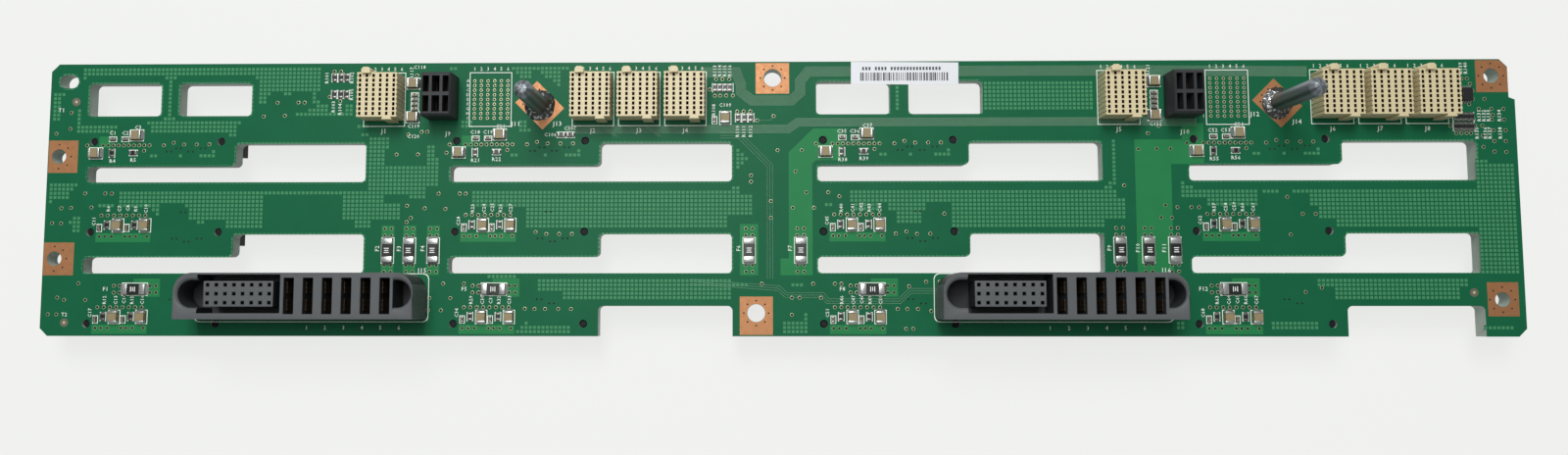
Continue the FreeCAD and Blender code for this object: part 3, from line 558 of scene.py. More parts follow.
def bevelled(thing, width, segments=2):
    """Rounds the sharp edges of a piece."""
    rounding = thing.modifiers.new("edges", "BEVEL")
    rounding.width = width * MM
    rounding.segments = segments
    rounding.limit_method = "ANGLE"
    rounding.angle_limit = math.radians(35)
    rounding.use_clamp_overlap = False
    select_only([thing])
    bpy.ops.object.modifier_apply(modifier=rounding.name)
    bpy.ops.object.shade_smooth_by_angle(angle=math.radians(40))
    return thing


def merged_copy(node, name):
    """A copy of a node's mesh, selected by itself, with its doubled corners merged."""
    twin = bpy.data.objects.new(name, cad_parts[node].data.copy())
    bpy.context.collection.objects.link(twin)
    select_only([twin])
    bpy.ops.mesh.customdata_custom_splitnormals_clear()
    bpy.ops.object.mode_set(mode="EDIT")
    bpy.ops.mesh.select_all(action="SELECT")
    bpy.ops.mesh.remove_doubles(threshold=MERGE_DISTANCE)
    bpy.ops.object.mode_set(mode="OBJECT")
    return twin


def select_sharp_edges(degrees):
    """Selects the edges of the active object that turn by more than an angle."""
    bpy.ops.object.mode_set(mode="EDIT")
    bpy.ops.mesh.select_mode(type="EDGE")
    bpy.ops.mesh.select_all(action="DESELECT")
    bpy.ops.mesh.edges_select_sharp(sharpness=math.radians(degrees))
    bpy.ops.object.mode_set(mode="OBJECT")


def paint_recess_shade(twin, node, reach_x, reach_y):
    """Gives the second material, as painted shade, to the walls and floors that lie within a reach of
    the middle.
    """
    centre = node_middle(node)
    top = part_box(node)[1].z / MM
    for face in twin.data.polygons:
        spot = face.center / MM
        away = spot - centre
        wall = abs(face.normal.z) < 0.5 and spot.z < top - 0.3
        if abs(away.x) < reach_x and abs(away.y) < reach_y and (wall or spot.z < top - 4):
            face.material_index = 1


def softened(node, width, slot, material, inner=None, recess=None):
    """Stands for a moulded node: its own shape, merged, with its edges rounded.

    The edges inside the inner reach, measured both ways from the node's middle, stay sharp.
    A recess is a darker material, which paints the shade on the walls and floors inside, and a reach
    both ways for them."""
    twin = merged_copy(node, node + "_moulding")
    select_sharp_edges(35)
    if inner:
        centre = node_middle(node)
        for edge in twin.data.edges:
            ends = [twin.data.vertices[index].co / MM - centre for index in edge.vertices]
            if all(abs(end.x) < inner[0] and abs(end.y) < inner[1] for end in ends):
                edge.select = False
    bpy.ops.object.mode_set(mode="EDIT")
    bpy.ops.mesh.bevel(offset=width * MM, segments=1, affect="EDGES", clamp_overlap=False)
    bpy.ops.mesh.select_mode(type="VERT")
    bpy.ops.object.mode_set(mode="OBJECT")
    bpy.ops.object.shade_smooth_by_angle(angle=math.radians(30))
    paint(twin, material)
    # The second material paints the shade inside the hollow.
    if recess:
        paint(twin, material, recess[0])
        paint_recess_shade(twin, node, *recess[1:])
    return finish_piece(twin, node + "_moulding", slot, stands_for=(node,))


def flat_shape(outlines, level, thickness):
    """Fills closed outlines, in millimetres, as a thin plate; an outline in another is a hole."""
    curve = bpy.data.curves.new("outline", "CURVE")
    curve.dimensions = "2D"
    curve.fill_mode = "BOTH"
    curve.extrude = thickness / 2 * MM
    for outline in outlines:
        spline = curve.splines.new("POLY")
        spline.points.add(len(outline) - 1)
        for point, (x, y) in zip(spline.points, outline):
            point.co = (x * MM, y * MM, 0, 1)
        spline.use_cyclic_u = True
    shape = bpy.data.objects.new("outline", curve)
    bpy.context.collection.objects.link(shape)
    select_only([shape])
    bpy.ops.object.convert(target="MESH")
    shape = bpy.context.object
    shape.location.z = (level + thickness / 2) * MM
    settle(shape)
    return shape


def layer(index):
    """The level of a shape above the lowest of its kind, so that no two lie in one plane."""
    return LAYER_STEP * (index % LAYERS)


def rectangle(x0, x1, y0, y1):
    return [(x0, y0), (x1, y0), (x1, y1), (x0, y1)]


def ring(x, y, radius, points=32):
    return [(x + radius * math.cos(2 * math.pi * step / points),
             y + radius * math.sin(2 * math.pi * step / points)) for step in range(points)]


def grown(outline, step):
    """A box outline moved outwards on all sides."""
    xs = [x for x, y in outline]
    ys = [y for x, y in outline]
    return rectangle(min(xs) - step, max(xs) + step, min(ys) - step, max(ys) + step)


def beside(path, distance):
    """A path that runs beside another at a distance, with mitred corners."""
    points = [Vector(point) for point in path]
    shifted = []
    for index, point in enumerate(points):
        runs = []
        if index:
            runs.append((point - points[index - 1]).normalized())
        if index < len(points) - 1:
            runs.append((points[index + 1] - point).normalized())
        sides = [Vector((-run.y, run.x)) for run in runs]
        mitre = (sides[0] + sides[-1]) / (1 + sides[0].dot(sides[-1]))
        shifted.append(point + mitre * distance)
    return shifted


def ridges(paths, width, level, height):
    """Low ridges along open paths, such as traces and printed lines."""
    curve = bpy.data.curves.new("ridges", "CURVE")
    curve.dimensions = "3D"
    curve.bevel_depth = width / 2 * MM
    curve.bevel_resolution = 0
    for path in paths:
        spline = curve.splines.new("POLY")
        spline.points.add(len(path) - 1)
        for point, (x, y) in zip(spline.points, path):
            point.co = (x * MM, y * MM, 0, 1)
    made = bpy.data.objects.new("ridges", curve)
    bpy.context.collection.objects.link(made)
    made.scale.z = 2 * height / width
    made.location.z = level * MM
    select_only([made])
    bpy.ops.object.convert(target="MESH")
    return bpy.context.object


def separate(kind):
    """Splits the active object, by loose parts or by what is selected."""
    bpy.ops.object.mode_set(mode="EDIT")
    if kind == "LOOSE":
        bpy.ops.mesh.select_all(action="SELECT")
    bpy.ops.mesh.separate(type=kind)
    bpy.ops.object.mode_set(mode="OBJECT")


def solids_of(node):
    """The boxes, in millimetres, of the separate solids of a node."""
    merged_copy(node, "sorting")
    separate("LOOSE")
    boxes = []
    for piece in bpy.context.selected_objects:
        spots = [vertex.co for vertex in piece.data.vertices]
        low = Vector(min(spot[axis] for spot in spots) for axis in range(3)) / MM
        high = Vector(max(spot[axis] for spot in spots) for axis in range(3)) / MM
        boxes.append((low, high))
        bpy.data.objects.remove(piece)
    return sorted(boxes, key=lambda box: (round(box[0].x, 2), round(box[0].y, 2)))


# Places of the printed and plated detail, in millimetres. Those that repeat with the drives are
# distances from a column's first locating hole and a row's line.

SUPPLY = [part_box(f"supply_connector_{number}") for number in (1, 2)]
PINS = [node_middle(f"guide_pin_{number}") for number in (1, 2)]
SIGNALS = [node_middle(f"signal_receptacle_{number}") for number in range(1, 9)]
POWERS = [node_middle(f"power_receptacle_{number}") for number in (1, 2)]
# Each screw: its centre, the radius of its hole, the box of its land, and the eighths of a turn
# at which small holes stand round it.
SCREWS = {
    "left_back": ((-215.1, 12.8), 2.15, (-218.3, -209.4, 7.85, 17.65), range(-2, 3)),
    "left_front": ((-215.1, -17.95), 2.15, (-218.4, -209.25, -22.9, -13.1), range(-2, 3)),
    "right_back": ((211.9, 35.9), 2.15, (207.4, 216.75, 31.0, 40.6), range(8)),
    "right_front": ((211.9, -30.15), 2.15, (207.6, 216.6, -35.0, -25.1), range(8)),
    "middle_back": ((-0.45, 36.0), 2.65, (-5.5, 4.5, 31.25, 40.5), range(8)),
    "middle_front": ((-5.4, -34.1), 2.65, (-10.25, -0.5, -40.5, -29.25), range(8)),
}


class BackplaneOperator:
    bl_options = {"REGISTER", "UNDO"}

    @property
    def sizes(self):
        return bpy.context.scene.backplane_sizes


class BACKPLANE_OT_board(BackplaneOperator, bpy.types.Operator):
    """Give the board its mask, and add the copper that shows through it"""

    bl_idname = "backplane.board"
    bl_label = "Board and masked copper"

    def execute(self, context):
        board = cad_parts["circuit_board"]
        paint(board, "mask")
        rise = self.sizes.copper_height / MM
        pours = []
        for index, outline in enumerate(self.pours()):
            bores = []
            if index < 2:
                bores.append(ring(COLUMNS[2 + index], ROWS[0], 1.3, 24))
            pours.append(flat_shape([outline] + bores, TOP - SUNK + layer(index), rise))
        finish_piece(joined(pours), "copper_pours", "solder_mask", "pour")
        fields = [flat_shape([outline], TOP - 1.2 * SUNK + layer(index), rise * 0.9)
                  for index, outline in enumerate(self.fields())]
        finish_piece(joined(fields), "filling_squares", "solder_mask", "squares")
        lines = ridges(self.traces(), 0.16, TOP, rise)
        finish_piece(lines, "fine_traces", "solder_mask", "trace")
        finish_piece(self.rims(0.45, rise * 0.7), "opening_rims", "solder_mask", "squares")
        return {"FINISHED"}

    def pours(self):
        """Copper areas under the mask."""
        shapes = [
            [(4.3, -23), (11.3, -23), (11.3, 10.2), (12.4, 11.2), (20, 11.2), (20, 20.7),
             (11.6, 20.7), (4.3, 13.6)],
            [(106.6, -23), (117.2, -23), (117.2, 9.8), (127, 9.8), (127, 22), (120.6, 22),
             (120.6, 17.2), (106.6, 17.2)],
            rectangle(-10.2, -4.8, -23, -7.8), rectangle(1.8, 10.6, -23, -18),
        ]
        for column, shift in enumerate((14.2, 12.0, 14.2, 10.2)):
            fuse = COLUMNS[column] + shift
            shapes.append(rectangle(fuse - 0.4, fuse + 7.6, -29.3, -23.9))
        for x in COLUMNS:
            for y in ROWS[1:]:
                shapes.append(rectangle(x + 1.7, x + 18.3, y - 3.0, y - 0.3))
            if x < 0:
                shapes.append(rectangle(x + 1.6, x + 5.2, ROWS[0] - 1.8, ROWS[0] + 1.6))
        for x in (-115.0, -108.5, -101.4):
            shapes.append(rectangle(x - 1.9, x + 1.9, -22.9, -8.1))
        return shapes

    def fields(self):
        """Rectangles filled with copper squares."""
        areas = [
            (-209.3, -136, 37.1, 39.6), (-208.3, -207.0, 35.8, 37.1), (-184.2, -180.6, 35.9, 37.1),
            (-183.0, -181.8, 24.4, 35.9), (-184.2, -180.6, 23.1, 24.4), (-217.0, -213.3, 31.2, 32.0),
            (-217.0, -214.7, 23.3, 31.2), (-209.4, -197.2, 21.8, 23.1), (-209.4, -198.4, 20.6, 21.8),
            (-209.4, -208.2, 23.1, 27.0), (-188.2, -160.4, 21.9, 23.1), (-187.0, -161.6, 20.6, 21.9),
            (-187.0, -182.0, 19.4, 20.6), (-179.3, -169.3, 19.4, 20.6), (-164.0, -161.6, 18.4, 20.6),
            (-156.0, -136.0, 35.8, 37.1), (-155.0, -136.0, 32.2, 35.8), (-155.0, -152.5, 28.4, 32.2),
            (-152.5, -151.2, 31.0, 32.2), (-147.4, -144.9, 31.0, 32.2), (-138.7, -137.4, 29.4, 32.2),
            (-138.7, -136.2, 28.2, 29.4), (-137.4, -133.6, 26.9, 28.2), (-140.0, -133.6, 25.7, 26.9),
            (-143.7, -126.0, 24.4, 25.7), (-128.6, -126.0, 25.7, 28.2), (-124.8, -121.0, 20.9, 22.2),
            (-123.2, -120.7, 18.4, 19.6), (-120.9, -116.0, 3.0, 18.3), (-116.0, -114.6, 15.6, 18.3),
            (-116.0, -100.2, 4.2, 10.4), (-116.0, -103.5, 1.8, 4.2), (-103.6, -100.9, 13.0, 16.8),
            (-103.3, -100.2, 10.4, 13.0), (-108.2, -103.5, 0.6, 1.8), (-217.0, -209.2, 4.0, 5.2),
            (-217.0, -211.6, 0.4, 4.0), (-211.6, -210.3, 2.8, 4.0), (-217.0, -215.8, -0.9, 0.4),
            (-195.8, -116.0, 1.7, 3.0), (-196.6, -152.5, -0.9, 1.7), (-201.9, -197.2, -2.1, -0.9),
            (-196.6, -186.8, -2.1, -0.9), (-186.8, -183.6, -3.4, -0.9), (-185.6, -184.3, -4.6, -3.4),
            (-176.4, -152.5, -2.1, -0.9), (-175.1, -152.5, -5.8, -2.1), (-172.6, -170.0, -7.0, -5.8),
            (-163.8, -152.5, -8.3, -5.8), (-128.4, -116.0, -5.8, 1.7), (-116.0, -111.0, -5.8, -1.0),
            (-124.5, -120.3, -8.3, -5.8), (-209.7, -207.3, -10.0, -5.0), (-210.9, -209.7, -7.5, -6.2),
            (-78.2, -61.4, 38.3, 39.6), (-77.6, -72.8, 37.1, 38.3), (-76.4, -72.8, 35.8, 37.1),
            (-69.8, -63.7, 37.1, 38.3), (-68.6, -63.7, 35.8, 37.1), (-66.2, -63.7, 34.6, 35.8),
            (-65.0, -63.7, 33.4, 34.6), (-97.4, -94.7, 38.3, 39.6), (-94.2, -90.4, 20.8, 23.2),
            (-76.8, -74.2, 19.6, 23.2), (-74.2, -72.8, 19.6, 20.8), (-89.4, -12.3, -0.8, 3.0),
            (-89.4, -73.8, -2.1, -0.8), (-73.8, -6.0, -5.0, -0.8), (-73.8, -13.4, -8.3, -5.0),
            (-12.3, -9.8, 1.6, 4.2), (-12.3, -6.0, -0.8, 1.6), (-10.9, -9.6, 8.2, 14.4),
            (-9.6, -8.3, 9.5, 13.2), (-8.3, -7.0, 10.7, 12.0), (-70.6, -12.3, -27.4, -23.8),
            (-63.0, -12.3, -29.9, -27.4), (-84.6, -76.6, -24.2, -23.6), (-74.6, -59.8, -38.6, -37.3),
            (-75.8, -59.8, -39.9, -38.6), (-73.3, -72.0, -37.3, -36.0), (-12.3, -7.4, -26.3, -25.1),
            (4.6, 8.3, -26.3, -25.1), (2.0, 10.6, -39.9, -36.3), (8.3, 10.6, -36.3, -33.9),
            (22.4, 50.0, -0.8, 3.0), (50.0, 100.9, -0.8, 3.0), (24.0, 31.0, -3.3, -0.8),
            (33.6, 45.2, -3.3, -0.8), (36.2, 43.8, -7.0, -3.3), (14.8, 17.2, -2.1, -0.8),
            (52.4, 103.3, -5.8, -0.8), (52.4, 96.9, -8.3, -5.8), (96.9, 98.3, 3.0, 4.3),
            (98.3, 99.5, 3.0, 5.5), (99.5, 100.9, 4.2, 17.4), (100.9, 103.3, -0.8, 0.4),
            (36.4, 37.7, 26.0, 34.6), (62.6, 94.4, 25.8, 34.9), (119.9, 123.7, 1.6, 4.0),
            (119.9, 121.1, 4.0, 5.3), (119.9, 143.0, 0.3, 1.6), (123.7, 143.0, 1.6, 2.9),
            (127.0, 143.0, -2.1, 0.3), (143.8, 148.7, 1.6, 2.9), (153.0, 157.0, 1.6, 2.9),
            (157.0, 206.8, -2.1, 3.0), (160.5, 206.8, -5.8, -2.1), (165.5, 206.8, -8.6, -5.8),
            (206.8, 217.3, -22.4, 10.3), (206.8, 210.3, 10.3, 11.5), (163.5, 200.2, -30.1, -26.2),
            (158.5, 202.7, -26.2, -24.0), (206.6, 215.6, -39.0, -38.0), (117.0, 119.5, -38.9, -36.4),
            (144.6, 146.9, -38.9, -36.4), (147.6, 159.0, -38.9, -36.8)]
        for x in COLUMNS:
            y = ROWS[0] - 5.3
            areas += [(x + 16.9, x + 19.3, y, y + 1.2), (x + 25.9, x + 27.2, y, y + 1.2),
                      (x + 32.6, x + 37.5, y, y + 1.2), (x + 36.3, x + 37.5, y + 1.2, y + 2.5)]
        pitch = self.sizes.square_pitch / MM
        snapped = []
        for x0, x1, y0, y1 in areas:
            x0, x1, y0, y1 = (round(value / pitch) * pitch for value in (x0, x1, y0, y1))
            snapped.append(rectangle(x0 - 0.1, max(x1, x0 + pitch) - 0.1, y0 - 0.1,
                                     max(y1, y0 + pitch) - 0.1))
        return snapped

    def traces(self):
        """Buses of fine traces, each a middle path, a number of traces and a pitch."""
        round_land = [(-22, 37.8), (-11.3, 37.8), (-9.9, 34), (-9.9, 31.8), (-6.6, 29.2),
                      (5.2, 29.2), (7.8, 31.6), (7.8, 35), (10.2, 37.9), (105, 37.9),
                      (158, 37.4)]
        cross = [(-62, 20.6), (4.3, 20.6), (7.0, 22.6), (106, 22.6), (125, 22.4)]
        slant = [(-16, 18.7), (-10.4, 18.7), (-1.3, 9.6), (-1.3, -24)]
        front = [(-25, -24.8), (1.2, -26.8), (3.4, -28.8), (14.2, -28.8), (15.6, -30.6),
                 (36.8, -30.6), (39.8, -27.6), (48, -27.6)]
        buses = [(round_land, 12, 0.26), (cross, 10, 0.26), (slant, 3, 0.8), (front, 3, 0.7)]
        paths = []
        for path, count, pitch in buses:
            for index in range(count):
                paths.append(beside(path, (index - (count - 1) / 2) * pitch))
        paths.append([(-5.1, 23.2), (-1.2, 23.2), (-0.1, 24.5)])
        paths += [[(x, 22), (x + 4.5, 18.4)] for x in (-52, -51.2, -39, -38.2)]
        return paths

    def rims(self, width, height):
        """The pale line of thin mask round each opening, along the edges of the board's face."""
        twin = merged_copy("circuit_board", "edges")
        select_sharp_edges(60)
        for edge in twin.data.edges:
            if any(abs(twin.data.vertices[index].co.z - TOP * MM) > 0.01 * MM
                   for index in edge.vertices):
                edge.select = False
        separate("SELECTED")
        edges = [thing for thing in bpy.context.selected_objects if thing != twin][0]
        bpy.data.objects.remove(twin)
        for vertex in edges.data.vertices:
            vertex.co.z = 0
        select_only([edges])
        separate("LOOSE")
        kept = []
        for loop in list(bpy.context.selected_objects):
            if 5.6 * MM < loop.dimensions.x < 200 * MM:
                kept.append(loop)
            else:
                bpy.data.objects.remove(loop)
        joined(kept)
        bpy.ops.object.convert(target="CURVE")
        rim = bpy.context.object
        rim.data.bevel_depth = width / 2 * MM
        rim.data.bevel_resolution = 0
        rim.scale.z = 2 * height / width
        rim.location.z = TOP * MM
        bpy.ops.object.convert(target="MESH")
        return bpy.context.object


class BACKPLANE_OT_lands(BackplaneOperator, bpy.types.Operator):
    """Add the bare copper lands round the screws and the guide pins, and the fiducials"""

    bl_idname = "backplane.lands"
    bl_label = "Copper lands"

    def execute(self, context):
        rise = self.sizes.land_height / MM
        plates = []
        dots = []
        for (x, y), radius, (x0, x1, y0, y1), steps in SCREWS.values():
            outline = rectangle(x0, x1, y0, y1)
            if x > 200 and y > 0:
                outline = [(x0, y0), (x1, y0), (x1, y1 - 2.2), (x1 - 2.2, y1), (x0, y1)]
            hole = ring(x, y, radius + 0.05)
            for level in (TOP - SUNK, UNDER + SUNK - rise):
                plates.append(flat_shape([outline, hole], level, rise))
            dots += [(x + 3.65 * math.cos(step * math.pi / 4),
                      y + 3.65 * math.sin(step * math.pi / 4)) for step in steps]
        for pin in PINS:
            outline = [(pin.x + a, pin.y + b) for a, b in
                       ((-0.9, 7.35), (7.3, -0.95), (0.9, -7.35), (-7.4, 0.85))]
            plates.append(flat_shape([outline], TOP - SUNK, rise))
            dots += [(pin.x + a, pin.y + b) for a, b in
                     ((-5.0, 0.4), (-4.5, 2.4), (-2.6, 4.2), (-0.2, 4.8))]
        finish_piece(joined(plates), "copper_lands", None, "copper")
        holes = [flat_shape([ring(x, y, 0.27, 8)], TOP + rise - SUNK, 0.01) for x, y in dots]
        finish_piece(joined(holes), "land_holes", "solder_mask", "shadow")
        pads = []
        for x, y in ((-210.6, 29.4), (-211.25, -36.95), (203.85, -28.1)):
            pads.append(paint(flat_shape([ring(x, y, 0.42, 16)], TOP, rise), "gold"))
            pads.append(paint(flat_shape([ring(x, y, 1.25, 24)], TOP - SUNK, rise * 0.6),
                                  "tarnish"))
        finish_piece(joined(pads), "fiducial_marks", None)
        return {"FINISHED"}


class BACKPLANE_OT_vias(BackplaneOperator, bpy.types.Operator):
    """Add the plated holes that join the layers of the board"""

    bl_idname = "backplane.vias"
    bl_label = "Vias and plated holes"

    def execute(self, context):
        vias = self.row_vias() + self.scattered_vias()
        grids = self.grids()
        radius = self.sizes.via_radius / MM
        wall = self.sizes.via_wall / MM
        finish_piece(self.rings(vias, radius, wall), "via_rings", "gold_contact", "gold")
        finish_piece(self.rings(grids, 0.4, 0.08), "plated_hole_rings", "gold_contact", "gold")
        bores = [(x, y, radius - wall * 0.4) for x, y in vias]
        bores += [(x, y, 0.33) for x, y in grids]
        bores += [(x, y, 0.3) for x, y in self.blind_marks()]
        discs = []
        for level in (TOP + 0.012, UNDER - 0.022):
            deselect()
            bpy.ops.mesh.primitive_circle_add(vertices=10, radius=MM, fill_type="NGON")
            disc = bpy.context.object
            for x, y, size in bores:
                twin = disc.copy()
                twin.data = disc.data.copy()
                bpy.context.collection.objects.link(twin)
                twin.location = (x * MM, y * MM, level * MM + 0.00001)
                twin.scale = (size, size, 1)
                if level < TOP:
                    twin.rotation_euler = (math.pi, 0, 0)
                discs.append(twin)
            bpy.data.objects.remove(disc)
        finish_piece(joined(discs), "hole_shadows", "solder_mask", "shadow")
        return {"FINISHED"}

    def rings(self, places, radius, wall):
        """Flattened rings on both faces of the board."""
        deselect()
        bpy.ops.mesh.primitive_torus_add(major_segments=12, minor_segments=4,
                                         major_radius=radius * MM, minor_radius=wall * MM)
        torus = bpy.context.object
        bpy.ops.transform.resize(value=(1, 1, 0.3))
        settle(torus)
        spots = [(x, y, TOP, 0) for x, y in places] + [(x, y, UNDER, 0) for x, y in places]
        made = copies(torus, spots)
        bpy.ops.object.shade_smooth_by_angle(angle=math.radians(60))
        return made

    def row_vias(self):
        """Vias that repeat with the drives."""
        places = []
        for x in COLUMNS:
            y = ROWS[0] - 1.1
            places += [(x - 2.05, y)] + [(x + 2.8 + 1.56 * step, y) for step in range(10)]
            places += [(x + 15.3, y - 1.65), (x + 21.2, y), (x + 24.2, y + 0.75),
                       (x + 27.35, y + 0.25), (x + 31.2, y + 0.25), (x + 35.0, y + 0.25)]
            for y, top in ((ROWS[1], 5.0), (ROWS[2], 4.85)):
                places += [(x + 3.2 + 1.9 * step, y + top) for step in range(8)]
                places += [(x + shift, y - 1.3) for shift in (2.8, 4.5, 6.5, 10.6, 12.1, 13.9,
                                                              17.2)]
        for fuse in solids_of("chip_fuses"):
            centre = middle(*fuse)
            if fuse[1].y - fuse[0].y > fuse[1].x - fuse[0].x:
                places += [(centre.x + a, centre.y + b) for a in (-1, 1)
                           for b in (-6.3, -4.4, 4.5, 6.5)]
            else:
                places += [(centre.x + a, centre.y + b) for b in (-1, 1)
                           for a in (-6.35, -4.6, 4.6, 6.35)]
        return places

    def grids(self):
        """The holes of the two empty press-fit grids."""
        return [(x + SIGNAL_PITCH * column, GRID_BACK - SIGNAL_ROW_PITCH * line)
                for x in EMPTY_GRIDS for column in range(SIGNAL_COLUMNS)
                for line in range(SIGNAL_ROWS)]

    def scattered_vias(self):
        """Single vias that stand at no regular place."""
        return [
            (-212, 26.1), (-212.1, 21.2), (-216.3, 19.7), (-206.7, 1.6), (-200.6, 1.6),
            (-198.6, 1.6), (-149.4, 29), (-153.5, 24.8), (-147.1, 25), (-143.1, 29),
            (-141.2, 29), (-133.7, 30.7), (-130.4, 29.4), (-132.4, 38.4), (-130.4, 38.4),
            (-113, 13.2), (-106.6, 13.2), (-105.6, 20), (-103.9, 20), (-109.6, 19.2),
            (-107.4, 37.2), (-98, 13.7), (-100.1, 1.4), (-93.8, 1.4), (-92, 1.4),
            (-6.9, 6.7), (-6.9, 4.8), (1, 14.2), (-5.1, 23.2), (-0.1, 24.5), (-1, -1),
            (8.2, 14.2), (6.3, 7.9), (9.5, 1.6), (16, 1.6), (19.3, 0.4), (-17.3, 35.7),
            (-15.4, 35.7), (-13.4, 35.7), (-19.2, 32.6), (-17.7, 30.7), (-16.1, 30.7),
            (-14.3, 30.7), (-12.3, 30.7), (-11, 25.9), (-9.1, 25.9), (-7.1, 25.9),
            (107.7, 14.3), (113.1, 14.4), (117.2, 14.4), (103.3, 3.5), (113.9, 21.2),
            (110.7, 19), (205.7, 33.5), (206.3, 31.5), (206.3, 29), (209.7, 29), (205.2, 27.4),
            (207.9, 26), (211.6, 26), (215.1, 26), (206.3, 22.8), (211.6, 22.8), (215.1, 22.8),
            (-213.7, -2.8), (-210.8, -2.7), (-204.6, -2.6), (-216.3, -7.3), (-213.6, -7.4),
            (-207.5, -25.3), (-213.7, -29.5), (-211.6, -30.2), (-205.2, -30.2), (-216.3, -34.5),
            (-213.7, -34.5), (-109.5, -2.2), (-104.2, -3), (-98, -3.2), (-108.3, -5.9),
            (-109.5, -7.1), (-98.2, -25.4), (-92, -25.4), (-102.2, -29.7), (-96, -29.7),
            (-102.5, -33.3), (-98.7, -33.3), (-73.8, -32.8), (-70.9, -10.1), (-67.7, -10.7),
            (-63.9, -10.7), (-60.1, -10.7), (-70.9, -32.9), (-67.8, -32.9), (-63.9, -32.9),
            (-60.1, -32.9), (-1, -6), (-3.7, -25.5), (5.5, -3), (11.8, -3), (11.4, -25.5),
            (17.8, -25.5), (19.7, -25.5), (13.7, -29.6), (5.1, -29.6), (7.4, -29.6),
            (5.1, -34.6), (35.9, -10.7), (39, -10.1), (42.1, -10.8), (46, -10.7), (50.2, -4.8),
            (39.6, -26.2), (44.6, -24.9), (48.6, -24.9), (36.2, -32.9), (39, -32.9),
            (42.1, -32.9), (46, -33.5), (38.6, -38.7), (40.7, -38.7), (115.2, -2.4),
            (118.7, -3), (122.8, -3), (125, -3), (113.9, -6), (117, -6.1), (150.9, 0),
            (155.2, -5), (159, -5), (151.5, -11.1), (155.2, -27.9), (159.9, -26.7),
            (211.9, 24.2), (206.6, 21), (208.7, 21), (211.9, 19.6), (215.4, 19.6), (208.7, 18),
            (212, 16.4), (215.3, 16.4), (208.7, 14.7), (211.9, 13.3), (215.3, 13.2),
            (199.4, 21), (201, 18.8), (202.5, 18.8), (204, 18.8), (205.3, 18.8), (203.3, 35.1),
            (204.9, 35.1),
        ]

    def blind_marks(self):
        """Pairs of small dark dots beside the via rows."""
        pairs = [(x + a, ROWS[0] + b) for x in COLUMNS
                 for a, b in ((22.85, -3.05), (25.7, -2.05), (29.4, -3.05), (33.15, -2.05))]
        pairs += [(x + a, ROWS[1] + b) for x in COLUMNS[:3] for a, b in
                  ((25.5, -2), (29.2, -2.9), (33, -2), (27.9, 5.9))]
        pairs += [(x + a, ROWS[2] + b) for x in COLUMNS for a, b in
                  ((25.5, 7.2), (29.2, 6.0))]
        return [(x + shift, y) for x, y in pairs for shift in (-0.7, 0.7)]


